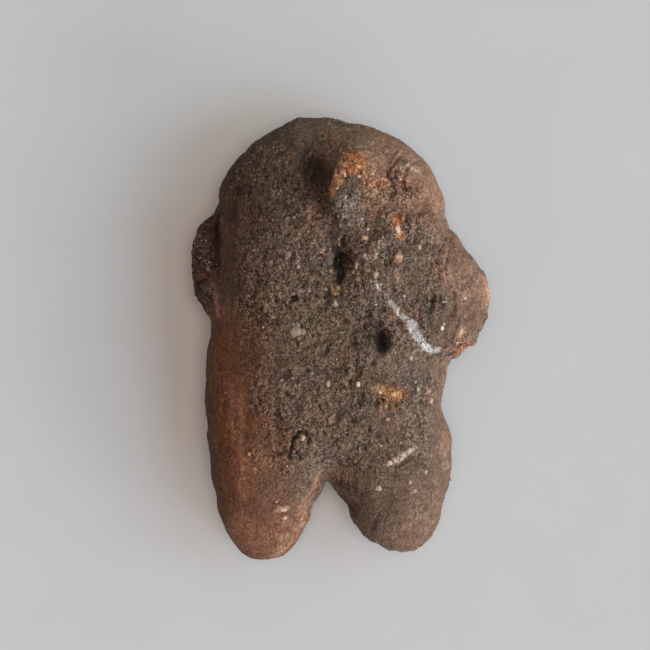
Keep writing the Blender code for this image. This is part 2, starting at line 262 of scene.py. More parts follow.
# Cracks and creases: (path, half width, depth in mm)
CRACKS = {
    "under the streak": (((393, 468), (404, 461), (417, 454)), 1.8, 0.30),
    "forehead crack": (((402, 154), (396, 161), (388, 172), (387, 177)), 1.6, 0.50),
    "forehead crack, lower": (((387, 176), (397, 184), (406, 189), (417, 196)), 1.7, 0.40),
    "forehead crack, right": (((405, 166), (409, 176), (411, 186)), 1.3, 0.28),
    "brow crack": (((420, 176), (415, 186), (414, 196)), 1.4, 0.26),
    "left eye crease": (((311, 146), (303, 154), (300, 165)), 2.4, 0.35),
    "left brow crease": (((250, 186), (262, 196), (276, 200), (290, 198)), 2.2, 0.25),
    "breast crease": (((322, 188), (319, 203), (312, 220)), 1.8, 0.30),
    "breast crease, lower": (((303, 226), (309, 240), (307, 256)), 2.0, 0.28),
    "mouth crease": (((330, 232), (333, 243), (334, 252)), 1.8, 0.35),
    "chin crease": (((327, 276), (324, 290), (327, 306), (322, 318)), 1.8, 0.35),
    "chest crease, left": (((300, 296), (294, 300), (286, 305)), 1.6, 0.30),
    "belly crease": (((334, 326), (340, 340), (337, 352)), 2.0, 0.30),
    "belly crease, lower": (((310, 352), (314, 366), (311, 378)), 1.8, 0.25),
    "temple crease": (((371, 211), (388, 210), (401, 213), (413, 214), (427, 212)), 2.6, 0.32),
    "nose root": (((331, 190), (328, 205), (327, 222)), 2.0, 0.40),
    "arm notch": (((448, 248), (450, 241), (451, 236)), 1.3, 0.50),
    "chest crease a": (((417, 286), (412, 298), (407, 311)), 1.7, 0.15),
    "chest crease b": (((434, 293), (432, 303), (429, 312)), 2.0, 0.35),
    "chest crease c": (((444, 300), (441, 309)), 1.6, 0.30),
    "line beside a white grain": (((357, 358), (356, 370), (356, 380)), 1.9, 0.80),
    "belly crack": (((305, 430), (298, 433), (292, 441), (290, 450), (290, 459)), 1.5, 0.85),
    "belly crack, inner": (((302, 443), (298, 450), (295, 457)), 1.2, 0.35),
    "belly crack, top": (((304, 431), (309, 438), (307, 445)), 1.2, 0.35),
    "belly crack, outer": (((287, 429), (281, 433), (280, 440)), 1.2, 0.25),
    "hip nick": (((235, 418), (234, 428)), 1.4, 0.25),
    "left leg dent": (((300, 515), (298, 525)), 2.0, 0.35),
    "right leg groove": (((378, 514), (374, 525), (369, 537)), 2.8, 0.36),
    "waist line": (((443, 366), (443, 378)), 1.5, 0.30),
    "dome crack": (((256, 186), (250, 191), (248, 199)), 1.4, 0.32),
    "dome crack, upper": (((288, 160), (287, 172)), 1.3, 0.22),
    "arm crease": (((217, 214), (217, 232), (218, 252), (218, 274)), 3.0, 1.35),
    "forehead crease": (((391, 176), (400, 178), (408, 184)), 1.6, 0.32),
    "left arm, notch": (((194, 284), (203, 281), (211, 278)), 2.0, 0.45),
    "left arm, groove": (((199, 232), (205, 240), (208, 252)), 1.8, 0.30),
    "scar edge": (((374, 384), (386, 384), (398, 385), (409, 387)), 1.3, 0.25),
}

# Pits: (middle, radii, turn, depth in mm)
PITS = {
    "mouth": ((339, 261), (5.0, 9.5), 6, 1.8),
    "mouth, right end": ((345, 258), (3.4, 3.2), 0, 0.8),
    "mouth, lower end": ((340, 276), (3.6, 8.5), 4, 1.2),
    "mouth, upper end": ((343, 242), (2.6, 8.0), 6, 1.2),
    "hollow under the mouth": ((336, 282), (7.0, 8.0), 10, 0.45),
    "chin pit": ((320, 308), (4.4, 5.5), 35, 0.50),
    "under the ring": ((335, 297), (4.0, 2.0), 0, 0.50),
    "left of the ring": ((330, 294), (2.4, 4.0), 0, 0.55),
    "chest slit": ((432, 304), (2.0, 8.0), 8, 0.45),
    "chest slit, right": ((440, 299), (1.8, 6.0), 6, 0.45),
    "chest slit, left": ((416, 297), (1.8, 6.0), 14, 0.25),
    "crack spot": ((305, 434), (2.4, 3.4), 0, 0.55),
    "chest spot a": ((329, 302), (2.2, 2.8), 0, 0.45),
    "chest spot b": ((308, 371), (2.4, 2.8), 0, 0.50),
    "chest spot c": ((327, 281), (2.0, 2.6), 0, 0.45),
    "breast spot": ((281, 255), (2.4, 2.6), 0, 0.40),
    "breast spot, low": ((262, 299), (3.0, 2.6), 0, 0.40),
    "cheek spot": ((361, 272), (2.4, 2.8), 0, 0.50),
    "cheek spot, right": ((385, 269), (2.4, 2.6), 0, 0.40),
    "nose spot": ((360, 198), (2.2, 3.0), 0, 0.45),
    "hip spot": ((414, 421), (2.4, 2.8), 0, 0.40),
    "scar spot": ((382, 399), (2.6, 2.6), 0, 0.45),
    "thigh spot": ((296, 459), (2.4, 3.0), 0, 0.45),
    "belly pit a": ((286, 393), (3.4, 5.0), 0, 0.55),
    "belly pit b": ((350, 383), (3.2, 4.5), 0, 0.55),
    "belly pit c": ((373, 363), (3.2, 4.2), 0, 0.50),
    "belly pit d": ((378, 436), (3.4, 4.2), 0, 0.50),
    "belly pit e": ((386, 418), (4.2, 3.4), 0, 0.45),
    "cheek pit, low": ((361, 263), (2.8, 3.6), 0, 0.55),
    "nose pit": ((349, 195), (2.6, 4.0), 14, 0.45),
    "chest slit, low": ((426, 322), (1.8, 4.5), -20, 0.30),
    "chin pit, right": ((341, 294), (2.0, 6.0), 0, 0.45),
    "cheek pit, mouth side": ((356, 256), (2.4, 3.4), 30, 0.55),
    "cheek groove": ((350, 236), (1.8, 5.0), 25, 0.35),
    "cheek hollow": ((385, 262), (3.0, 2.2), 0, 0.35),
    "navel": ((380.5, 341), (5.4, 11.5), -7, 1.5),
    "navel, upper end": ((378, 325), (3.8, 6.5), -14, 0.9),
    "navel, side": ((389, 325), (1.8, 4.0), 12, 0.35),
    "chest hollow": ((398, 322), (3.0, 5.0), -30, 0.40),
    "thumb hollow": ((314, 170), (12.5, 18.0), -34, 0.70),
    "thumb hollow, lower": ((322, 194), (3.4, 8.0), 12, 0.30),
    "beside the mouth": ((323, 212), (3.0, 6.0), 20, 0.22),
    "temple hollow": ((422, 206), (9.0, 4.0), 6, 0.40),
    "cheek dip": ((263, 227), (7.0, 5.0), -30, 0.30),
    "cheek dip, lower": ((262, 253), (5.0, 4.0), 0, 0.28),
    "dome slit": ((250, 193), (1.8, 7.0), 24, 0.40),
    "dome slit, upper": ((286, 176), (1.5, 6.0), 20, 0.36),
    "dome slit, right": ((298, 184), (1.4, 5.0), -15, 0.34),
    "brow slit": ((262, 200), (5.0, 1.6), -20, 0.34),
    "chest dip": ((319, 311), (5.0, 4.0), -40, 0.45),
    "left eye groove": ((303, 196), (10.0, 3.2), -25, 0.30),
    "left cheek groove": ((281, 210), (12.0, 3.0), -32, 0.25),
    "forehead pit": ((388, 176), (2.2, 2.6), 0, 0.45),
    "brow pit": ((410, 188), (2.3, 2.0), 0, 0.50),
    "brow pit, left": ((404, 184), (1.6, 1.6), 0, 0.30),
    "brow pit, right": ((415, 195), (1.8, 2.2), 0, 0.30),
    "cheek pit": ((426, 245), (2.0, 3.0), 20, 0.35),
    "breast pit": ((294, 298), (3.8, 2.4), -50, 0.85),
    "scar bottom": ((392, 404), (8.5, 5.5), 0, 0.40),
    "pit by a white grain": ((308, 441), (2.0, 2.4), 0, 0.35),
    "hip pit": ((281, 469), (2.2, 2.0), 0, 0.32),
    "dome pit": ((231, 181), (2.4, 2.8), 0, 0.35),
    "arm break": ((452, 355), (4.0, 2.6), -20, 0.50),
    "dark spot on the breast": ((352, 333), (2.2, 3.0), 0, 0.30),
}

# Coloured places: (colour, middle, radii, turn, strength)
PATCHES = {
    "broken nose": ((0.385, 0.122, 0.034), (354, 162), (12.5, 13.5), 6, 0.97),
    "broken nose, ochre": ((0.660, 0.370, 0.160), (360, 170), (4, 6), 0, 0.60),
    # painted shade in the thumb hollow and beside the nose, on the side the nose ridge shades
    "thumb hollow": ((0.060, 0.040, 0.029), (314, 168), (10, 16), -34, 0.35),
    "beside the nose": ((0.086, 0.057, 0.047), (326, 200), (4, 10), 14, 0.25),
    "left arm, purple": ((0.085, 0.038, 0.032), (209, 241), (7, 7), 0, 0.60),
    "left arm, ochre": ((0.190, 0.080, 0.030), (202, 276), (4, 2.2), -20, 0.45),
    "broken nose, left edge": ((0.600, 0.260, 0.120), (338, 179), (5.0, 19), 17, 0.88),
    "broken nose, left rim": ((0.420, 0.300, 0.220), (340, 163), (2.0, 7), 18, 0.40),
    "broken nose, dark bit": ((0.090, 0.060, 0.050), (342, 188), (2.0, 5), 14, 0.50),
    "nose, right": ((0.640, 0.270, 0.140), (370, 180), (8, 8.5), -10, 0.90),
    "nose, right, lower": (ORANGE, (384, 184), (5.0, 5.5), 0, 0.65),
    "brow, grey-green": ((0.185, 0.135, 0.090), (382, 195), (9, 8), -20, 0.65),
    "nose plateau": ((0.190, 0.145, 0.130), (350, 210), (14, 22), 0, 0.62),
    "brow, ochre": (OCHRE, (368, 206), (4.5, 3.0), 0, 0.45),
    "eye chip": ((0.480, 0.155, 0.048), (397, 220), (7.2, 7.8), 20, 0.95),
    "eye chip, foot": ((0.700, 0.330, 0.125), (401, 235), (4.6, 4.8), 0, 0.85),
    "cheek": (OCHRE, (366, 238), (5, 3.4), -20, 0.75),
    "ring": ((0.700, 0.360, 0.150), (398, 257), (6, 4.5), 0, 0.90),
    "cheek, speckled": (CREAM, (371, 258), (8, 3), -14, 0.45),
    "cheek, speckled, upper": (CREAM, (379, 247), (2.6, 9), 12, 0.65),
    "pale blotch": (PALE, (376, 275), (2.5, 6), 12, 0.50),
    "pale blotch, lower": ((0.560, 0.450, 0.400), (379, 286), (3.2, 5.5), -20, 0.85),
    "rust by the scratch": (RUST, (391, 316), (5, 6), 0, 0.65),
    "rust above the scratch": (ORANGE, (416, 312), (3, 2.4), 0, 0.50),
    "chin": ((0.400, 0.190, 0.055), (335, 289), (7, 4), -10, 0.65),
    "chin, lump": (SANDY, (335, 303), (5, 3.6), -10, 0.60),
    # painted shadow over the creases and slits of the chest by the arm
    "chest, dark": ((0.070, 0.048, 0.036), (434, 300), (8, 14), 12, 0.45),
    "belly": (RUST, (346, 357), (9, 10), 0, 0.40),
    "scar": ((0.380, 0.150, 0.046), (391, 393), (18, 8), 2, 0.88),
    "scar, ochre": ((0.425, 0.190, 0.056), (394, 393), (7, 4), 20, 0.55),
    "scar, dark": ((0.110, 0.060, 0.040), (379, 397), (3, 4), 20, 0.50),
    "scar, cream": ((0.490, 0.320, 0.185), (379, 389), (6, 3.4), 0, 0.60),
    "scar, lower": ((0.230, 0.100, 0.040), (388, 404), (11, 8), 0, 0.70),
    "under the scar": ((0.085, 0.040, 0.024), (385, 417), (9, 7), 0, 0.65),
    "arm, reddish": ((0.420, 0.160, 0.090), (440, 269), (9, 11), 0, 0.45),
    "arm, pink": (ROSE, (468, 295), (7, 8), 0, 0.08),
    "arm, outer edge": ((0.560, 0.250, 0.130), (485, 286), (3.4, 18), -3, 0.70),
    "arm, lower edge": ((0.085, 0.048, 0.032), (478, 321), (9, 12), 20, 0.75),
    "arm, brown": ((0.170, 0.098, 0.068), (468, 268), (16, 22), -10, 0.50),
    "arm, ochre rim": ((0.620, 0.380, 0.180), (487, 293), (2.5, 7), 0, 0.75),
    "arm, broken end": ((0.420, 0.150, 0.066), (462, 347), (14, 7.0), -24, 0.68),
    "arm, cream": ((0.600, 0.400, 0.240), (461, 332), (4.0, 7.5), 10, 0.85),
    "left arm, orange": ((0.110, 0.032, 0.008), (203, 277), (6, 4), -30, 0.80),
    "left cheek": (ROSE, (244, 220), (2.5, 5), 0, 0.28),
    "breast, pinkish": (ROSE, (313, 211), (6, 10), 30, 0.55),
    "breast, orange": ((0.280, 0.125, 0.066), (318, 232), (6, 14), -10, 0.42),
    "breast, lit": ((0.225, 0.140, 0.100), (304, 257), (23, 34), 0, 0.70),
    "breast, lit, lower": ((0.175, 0.118, 0.084), (300, 306), (22, 24), 0, 0.55),
    "dome lump": ((0.135, 0.086, 0.057), (270, 160), (28, 22), 0, 0.65),
    "left temple": ((0.140, 0.078, 0.044), (294, 192), (14, 12), 0, 0.45),
    "dark cheek": ((0.050, 0.018, 0.008), (258, 222), (14, 20), -10, 0.80),
    "arm, lower, dull": ((0.160, 0.094, 0.066), (472, 308), (10, 16), 0, 0.70),
    "left leg, lit": ((0.195, 0.105, 0.066), (268, 470), (18, 48), 0, 0.50),
    "right leg, shaded": ((0.085, 0.055, 0.038), (384, 508), (18, 24), 0, 0.75),
    "right foot, lit": ((0.260, 0.165, 0.116), (418, 522), (15, 18), 0, 0.50),
    "belly, low": ((0.190, 0.120, 0.088), (326, 438), (18, 40), 0, 0.45),
    "temple, low": ((0.290, 0.180, 0.130), (438, 246), (14, 18), 0, 0.75),
    "nose, upper right": ((0.620, 0.300, 0.160), (368, 168), (7, 10), 0, 0.65),
    "cheek, dark": ((0.062, 0.038, 0.025), (263, 228), (7, 5), -30, 0.55),
    "cheek, dark, lower": ((0.052, 0.028, 0.016), (263, 253), (5, 4), 0, 0.50),
    "left brow, dark": ((0.030, 0.016, 0.010), (238, 214), (10, 12), 20, 0.75),
    "olive": ((0.135, 0.098, 0.058), (325, 325), (24, 26), 30, 0.50),
    "grey chest": ((0.142, 0.103, 0.080), (412, 372), (22, 18), 0, 0.60),
    "grey by the arm": ((0.122, 0.083, 0.063), (438, 322), (16, 34), 10, 0.80),
    "grey cheek": ((0.150, 0.104, 0.078), (421, 258), (18, 24), 0, 0.45),
    "hip, right": ((0.270, 0.180, 0.134), (419, 424), (14, 34), 6, 0.70),
    "over the crotch": ((0.300, 0.190, 0.130), (330, 475), (22, 11), 0, 0.75),
    # painted shade left of the navel
    "under the navel": ((0.045, 0.030, 0.022), (371, 334), (8, 13), 0, 0.85),
    # painted shade in the temple groove
    "temple, dark": ((0.110, 0.062, 0.042), (423, 207), (11, 4.5), 6, 0.55),
    # pinker clay with painted light on the lit outer edge of the right thigh
    "right thigh": ((0.350, 0.200, 0.136), (445, 440), (5.5, 21), 2, 0.80),
    "cream on the thigh": ((0.480, 0.330, 0.220), (445, 466), (3.5, 5), 30, 0.60),
    "waist strip": (ROSE, (430, 397), (3, 12), -4, 0.45),
    "crotch": (ROSE, (317, 483), (3.5, 9), 35, 0.45),
    "left foot": (TAWNY, (286, 541), (8, 8), -30, 0.36),
    "left foot, low": (TAWNY, (277, 552), (8, 4), -30, 0.40),
    "left foot, outer": ((0.075, 0.034, 0.020), (252, 552), (10, 6), 12, 0.80),
    # painted shade in the navel's upper end
    "navel, dark top": ((0.026, 0.018, 0.013), (374, 324), (5, 7.5), -18, 1.10),
    "cheek, red-brown": ((0.150, 0.068, 0.042), (362, 264), (15, 20), 10, 0.50),
    "cheek, purple": ((0.125, 0.098, 0.098), (385, 251), (8, 7), 0, 0.50),
    "left cheek, purple": ((0.130, 0.050, 0.039), (245, 218), (5, 14), 8, 0.45),
    # painted shade in the crease between the left arm and the body
    "arm crease, dark": ((0.032, 0.016, 0.009), (217, 244), (2.4, 28), 2, 0.55),
    "beside the scratch": ((0.145, 0.105, 0.085), (412, 352), (12, 16), 20, 0.45),
    "brow, red": ((0.190, 0.085, 0.058), (400, 187), (14, 11), 25, 0.45),
    # painted shade inside the navel
    "navel, inside": ((0.030, 0.021, 0.015), (380, 341), (4.2, 9.5), -7, 1.0),
    "under the eye, dark": ((0.050, 0.032, 0.022), (381, 224), (6, 6), 0, 0.95),
    "breast, dark": ((0.042, 0.028, 0.019), (251, 310), (6, 6), 0, 0.65),
    # painted shade in the crease inside the right arm
    "arm crease, low": ((0.110, 0.070, 0.052), (456, 321), (5, 7), 0, 0.95),
    "arm, over the break": ((0.110, 0.070, 0.052), (452, 343), (5, 5), 0, 0.95),
    "breast, pale": ((0.270, 0.195, 0.150), (322, 245), (5, 7), 0, 0.60),
    "thigh, pale": ((0.270, 0.180, 0.130), (360, 467), (8, 6), 0, 0.60),
    "scar, dark spot": ((0.110, 0.050, 0.020), (384, 399), (5, 4), 0, 0.80),
    "belly, dark a": ((0.050, 0.036, 0.028), (343, 402), (5, 6), 0, 0.60),
    "belly, dark b": ((0.050, 0.036, 0.028), (352, 375), (5, 6), 0, 0.60),
    "belly, dark c": ((0.050, 0.036, 0.028), (338, 354), (6, 5), 0, 0.60),
    "waist, dark": ((0.120, 0.080, 0.062), (441, 372), (5, 6), 0, 0.60),
    "breast, dark spot": ((0.055, 0.036, 0.027), (323, 228), (5, 6), 0, 0.60),
    "brow, left, dark spot": ((0.045, 0.029, 0.020), (286, 207), (6, 5), 0, 0.95),
    "flank, dark band": ((0.058, 0.022, 0.010), (249, 352), (15, 66), 0, 0.42),
    "arm, dull half": ((0.130, 0.085, 0.063), (460, 322), (18, 28), 8, 0.35),
    "hip, dark spot": ((0.085, 0.058, 0.044), (427, 424), (5, 6), 0, 0.60),
    "thigh, dark spot": ((0.100, 0.066, 0.050), (432, 440), (5, 6), 0, 0.60),
    "cheek, dark spot": ((0.045, 0.020, 0.010), (378, 234), (5, 5), 0, 0.95),
    "temple, dark spot, low": ((0.100, 0.056, 0.040), (429, 201), (6, 5), 0, 0.60),
    "brow, dark spot, top": ((0.100, 0.064, 0.046), (387, 151), (6, 5), 0, 0.95),
    "belly, left, dark": ((0.050, 0.028, 0.018), (250, 393), (5, 7), 0, 0.60),
    "belly, dark d": ((0.050, 0.036, 0.028), (324, 408), (5, 6), 0, 0.60),
    "hip, dark, left": ((0.050, 0.036, 0.028), (362, 425), (5, 6), 0, 0.60),
    "hip, dark, middle": ((0.050, 0.036, 0.028), (376, 419), (5, 5), 0, 0.50),
    "chest, pale spot": ((0.250, 0.185, 0.140), (314, 266), (6, 6), 0, 0.60),
    "breast, dark, low": ((0.040, 0.025, 0.017), (249, 255), (6, 6), 0, 0.60),
    "chest, dark spot": ((0.050, 0.036, 0.028), (316, 348), (5, 6), 0, 0.60),
    "chest, dark spot, right": ((0.042, 0.030, 0.022), (363, 315), (5, 6), 0, 0.60),
    "chest, pale spot, left": ((0.230, 0.170, 0.130), (301, 296), (6, 6), 0, 0.60),
    "chest, pale, far left": ((0.200, 0.140, 0.105), (277, 302), (6, 6), 0, 0.60),
    "brow, dark, right": ((0.090, 0.054, 0.040), (402, 163), (5, 5), 0, 0.95),
    # painted shade between the legs, on the right leg's inner side
    "crotch, dark, low": ((0.045, 0.029, 0.020), (351, 489), (5, 6), 0, 0.60),
    "breast, dark, outer": ((0.050, 0.032, 0.022), (264, 299), (5, 5), 0, 0.60),
    "hip, dark, low": ((0.050, 0.036, 0.028), (374, 432), (5, 5), 0, 0.50),
    "chin, dark": ((0.045, 0.031, 0.022), (332, 290), (4, 5), 0, 0.60),
    "foot, pale": ((0.400, 0.240, 0.160), (287, 522), (6, 5), 0, 0.55),
    # painted shadow below the raised streak of grains
    "under the streak": ((0.080, 0.052, 0.040), (408, 460), (10, 2.6), -30, 0.60),
    "beside the streak": ((0.090, 0.060, 0.046), (420, 452), (4, 4), 0, 0.60),
    "crotch, lit edge": ((0.420, 0.270, 0.200), (323, 488), (3, 5), 20, 0.70),
    "navel, right rim": ((0.230, 0.172, 0.138), (389, 332), (4, 7), 0, 0.75),
    "belly, dark e": ((0.045, 0.032, 0.025), (361, 348), (5, 5), 0, 0.60),
    "chest, dark, middle": ((0.050, 0.035, 0.027), (368, 295), (5, 5), 0, 0.55),
    "cheek, dark, right": ((0.060, 0.038, 0.027), (404, 266), (5, 5), 0, 0.95),
    "arm pit, dark": ((0.075, 0.050, 0.038), (443, 352), (5, 5), 0, 0.95),
    "chest, dark, upper": ((0.060, 0.042, 0.033), (413, 295), (5, 5), 0, 0.60),
    "arm, dark inside": ((0.110, 0.072, 0.053), (444, 292), (5, 5), 0, 0.95),
    "arm, dark rim": ((0.150, 0.090, 0.062), (480, 288), (4, 5), 0, 0.60),
    "leg, left, dark": ((0.070, 0.030, 0.015), (243, 469), (5, 6), 0, 0.60),
    "flank, lit": ((0.160, 0.070, 0.034), (207, 360), (4, 14), 0, 0.60),
    "crotch, pale": ((0.220, 0.150, 0.108), (335, 475), (6, 5), 0, 0.60),
    "crack, pale": ((0.230, 0.160, 0.120), (293, 428), (5, 5), 0, 0.60),
    "chest, pale, upper": ((0.230, 0.165, 0.125), (299, 242), (5, 5), 0, 0.60),
    "forehead, pale": ((0.130, 0.090, 0.062), (306, 151), (6, 5), 0, 0.60),
    "chest, pale, middle": ((0.240, 0.175, 0.135), (333, 323), (5, 5), 0, 0.60),
    "crown, dark edge": ((0.060, 0.040, 0.030), (346, 123), (12, 3.2), 2, 0.60),
    "chest, orange spot": ((0.480, 0.230, 0.095), (397, 279), (2.4, 3.6), 0, 0.55),
    "mouth, left dark": ((0.040, 0.028, 0.022), (334, 277), (4, 8), 6, 0.70),
    "breast, red band": ((0.096, 0.044, 0.020), (252, 305), (16, 74), 0, 0.36),
    "nose, dark spot a": ((0.060, 0.034, 0.022), (349, 152), (3.5, 2.5), 0, 1.20),
    "nose, dark spot b": ((0.190, 0.050, 0.012), (351, 166), (2.5, 4), 0, 1.20),
    "nose, dark spot c": ((0.120, 0.062, 0.048), (340, 170), (2.2, 4), 18, 1.20),
    "brow, dark spot": ((0.095, 0.044, 0.026), (396, 174), (2.6, 4), 0, 1.20),
    "brow, dark spot, low": ((0.120, 0.066, 0.042), (395, 199), (4, 2.4), 0, 1.20),
    "temple, dark spot": ((0.070, 0.030, 0.018), (410, 189), (3.6, 3), 0, 1.20),
    "nose, dark under the break": ((0.045, 0.028, 0.020), (349, 194), (4, 5), 0, 0.80),
    "cheek, dark red": ((0.040, 0.018, 0.011), (361, 263), (5, 6), 0, 0.80),
    # painted shade between the legs, on the right leg's inner side
    "crotch, right": ((0.045, 0.028, 0.018), (343, 485), (5, 7), -30, 0.80),
    # painted shade along the temple groove
    "temple, dark line": ((0.062, 0.030, 0.020), (425, 214), (9, 2.5), 4, 0.80),
    "breast, grey line": ((0.300, 0.245, 0.205), (336, 246), (3, 6), 0, 0.80),
    "nose, left of": ((0.105, 0.070, 0.052), (334, 214), (5, 9), 10, 0.30),
    "mouth, round": ((0.060, 0.040, 0.030), (346, 262), (16, 14), 0, 0.35),
    "belly, ridge": ((0.045, 0.030, 0.022), (377, 353), (5, 7), 0, 0.90),
    "nose, shoulder": ((0.450, 0.260, 0.170), (371, 191), (6, 5), 0, 0.80),
    "waist": ((0.260, 0.170, 0.128), (421, 404), (5.5, 11), 0, 0.90),
}

# Streaks: (colour, path, half widths at its two ends, strength)
STREAKS = {
    "scar of the left arm": ((0.330, 0.150, 0.105), ((213, 280), (214, 291), (217, 301), (218, 316)), (4.2, 2.4), 0.62),
    "dark rim of the flank": ((0.050, 0.025, 0.015), ((207, 340), (207, 400), (210, 450), (217, 495), (226, 528)), (6.5, 6.0), 0.62),
    "orange strip on the hip": ((0.230, 0.092, 0.045), ((238, 386), (238, 430), (240, 462), (245, 495)), (10.5, 7.5), 0.75),
    "inside of the left leg": (ROSE, ((320, 476), (312, 492), (304, 516), (298, 536)), (4.0, 4.5), 0.40),
    "grains on the thigh": ((0.600, 0.440, 0.350), ((388, 465), (396, 460), (403, 455), (411, 451)), (2.2, 2.7), 0.70),
    "temple streak": (CREAM, ((407, 165), (412, 169), (418, 172)), (1.6, 1.2), 0.60),
    "foot streak": ((0.520, 0.350, 0.270), ((277, 511), (288, 508)), (2.2, 2.6), 0.60),
}

SCRATCH = (((390, 302), (394, 306), (398, 313), (404, 318), (409, 321)), (2.6, 2.8))
SCRATCH_END = (((412, 325), (414, 330), (418, 337), (424, 345), (431, 351), (437, 350)), (6.4, 3.5))

# Grains of sand that stand out: (middle, radii, colour)
GRAINS = (
    ((358, 384), (2.4, 3.2), (0.800, 0.500, 0.340)), ((336, 175), (1.8, 1.9), CHALK), ((339, 161), (1.6, 1.4), CHALK), ((337, 167), (1.3, 1.3), CREAM), ((346, 196), (1.6, 1.4), GLEAM), ((344, 153), (1.6, 1.3), CREAM), ((398, 229), (3.3, 4.1), GLEAM),
    ((410, 450), (2.9, 2.6), CHALK), ((403, 455), (2.8, 2.4), CREAM), ((390, 463), (3.0, 2.4), CREAM),
    ((379, 488), (3.4, 3.2), PALE), ((303, 438), (2.4, 3.4), (0.560, 0.350, 0.240)), ((399, 257), (3.6, 2.6), CREAM),
    ((295, 332), (6.2, 6.2), (0.290, 0.214, 0.160)), ((303, 332), (3.6, 3.4), (0.330, 0.245, 0.140)), ((298, 325), (2.2, 1.8), FAINT), ((328, 384), (2.4, 4.0), PALE), ((357, 266), (2.0, 3.8), SANDY),
    ((442, 328), (1.9, 2.6), (0.820, 0.760, 0.700)), ((444, 324), (1.3, 1.4), CHALK), ((445, 302), (3.2, 1.2), PALE), ((345, 197), (1.4, 1.8), CREAM), ((376, 254), (2.6, 2.0), PALE),
    ((461, 331), (2.6, 5.2), (0.620, 0.420, 0.270)), ((465, 298), (2.0, 1.8), CREAM), ((335, 304), (3.4, 2.6), DULL), ((362, 219), (1.8, 1.8), PALE),
    ((299, 267), (2.0, 2.4), PALE), ((288, 254), (3.6, 4.2), (0.230, 0.160, 0.118)), ((338, 216), (1.6, 1.5), PALE),
    ((287, 466), (1.4, 1.8), CREAM), ((394, 394), (2.8, 2.4), TAWNY), ((420, 247), (2.0, 2.8), TAWNY),
    ((284, 510), (3.4, 1.8), CREAM), ((365, 238), (3.4, 2.4), SANDY), ((368, 229), (1.8, 1.6), PALE),
    ((360, 176), (2.0, 1.6), CREAM), ((365, 255), (1.9, 2.0), PALE), ((338, 288), (2.4, 2.8), DULL),
    ((388, 420), (2.8, 2.2), PALE), ((418, 389), (2.4, 2.6), PALE), ((381, 446), (1.8, 1.6), PALE),
    ((426, 472), (1.8, 2.6), PALE), ((285, 518), (2.4, 2.4), TAWNY), ((376, 274), (2.4, 2.6), PALE),
    ((411, 358), (2.2, 2.8), PALE), ((431, 401), (2.4, 3.4), PALE), ((457, 343), (2.2, 1.8), CREAM),
    ((410, 482), (1.8, 2.4), PALE), ((463, 295), (2.6, 2.4), FAINT), ((328, 261), (4.6, 5.4), GREYISH),
    ((282, 145), (2.6, 2.0), GREYISH), ((208, 268), (2.4, 3.0), (0.110, 0.075, 0.056)), ((313, 262), (5.0, 4.4), GREYISH),
    ((415, 491), (2.0, 1.8), PALE), ((380, 241), (1.4, 1.3), PALE), ((254, 469), (2.6, 1.8), SANDY),
    ((249, 454), (1.8, 2.2), SANDY), ((384, 397), (2.0, 1.8), SANDY),
    ((345, 174), (2.0, 3.4), (0.560, 0.330, 0.210)), ((337, 188), (1.6, 2.0), CREAM), ((342, 158), (2.0, 2.2), FAINT),
    ((294, 294), (2.0, 2.2), FAINT), ((380, 392), (2.2, 2.0), CREAM), ((386, 406), (2.0, 2.0), SANDY),
    ((401, 179), (1.8, 1.6), CREAM), ((404, 296), (1.6, 2.0), PALE), ((376, 305), (1.8, 1.6), PALE),
    ((341, 333), (1.8, 1.8), FAINT), ((340, 341), (1.8, 1.6), FAINT), ((286, 258), (1.8, 1.8), FAINT),
    ((415, 416), (1.8, 2.0), FAINT), ((416, 382), (2.0, 1.8), FAINT), ((421, 417), (1.8, 2.2), FAINT),
    ((282, 380), (1.8, 1.8), FAINT), ((353, 272), (1.8, 2.0), FAINT), ((383, 237), (1.6, 1.8), SANDY),
    ((326, 289), (2.0, 1.8), FAINT), ((383, 262), (1.8, 1.6), FAINT), ((294, 324), (1.6, 1.8), FAINT),
    ((285, 433), (1.8, 1.8), FAINT), ((294, 217), (1.8, 1.6), FAINT), ((296, 239), (1.8, 2.0), FAINT),
    ((371, 281), (1.6, 1.8), FAINT), ((401, 443), (1.8, 1.6), FAINT), ((314, 224), (1.8, 1.8), FAINT),
)


# Places smoother or rougher than their surroundings: (middle, radii, turn, how much)
TOUCH = (
    ((410, 430), (30, 36), 0, -0.36), ((400, 490), (40, 40), 0, -0.12), ((268, 500), (34, 50), 0, -0.12),
    ((414, 366), (26, 20), 0, -0.35), ((440, 322), (11, 26), 0, -0.30), ((416, 262), (14, 22), 0, -0.30),
    ((330, 206), (8, 16), 10, 0.25), ((352, 340), (16, 40), 0, 0.12),
    ((429, 185), (20, 46), -18, -0.55), ((381, 157), (17, 13), 0, -0.45), ((231, 252), (9, 28), 0, -0.20),
    ((227, 420), (22, 105), 0, -0.12), ((468, 285), (22, 50), 0, -0.35), ((401, 526), (44, 34), 0, -0.15),
    ((445, 430), (12, 50), 0, -0.40), ((410, 207), (20, 7), 5, -0.35), ((263, 528), (40, 34), 0, -0.08),
    ((404, 186), (18, 13), 25, 0.45), ((440, 272), (9, 12), 0, 0.35), ((429, 300), (15, 15), 0, 0.30),
    ((315, 240), (16, 46), 0, 0.20), ((262, 282), (26, 40), 0, 0.25), ((392, 396), (18, 13), 0, 0.35),
    ((352, 175), (16, 26), 0, 0.35), ((395, 240), (16, 30), 0, 0.25), ((295, 440), (16, 18), 0, 0.20),
    ((202, 262), (13, 48), 0, 0.75), ((462, 346), (16, 10), -20, 0.40),
)


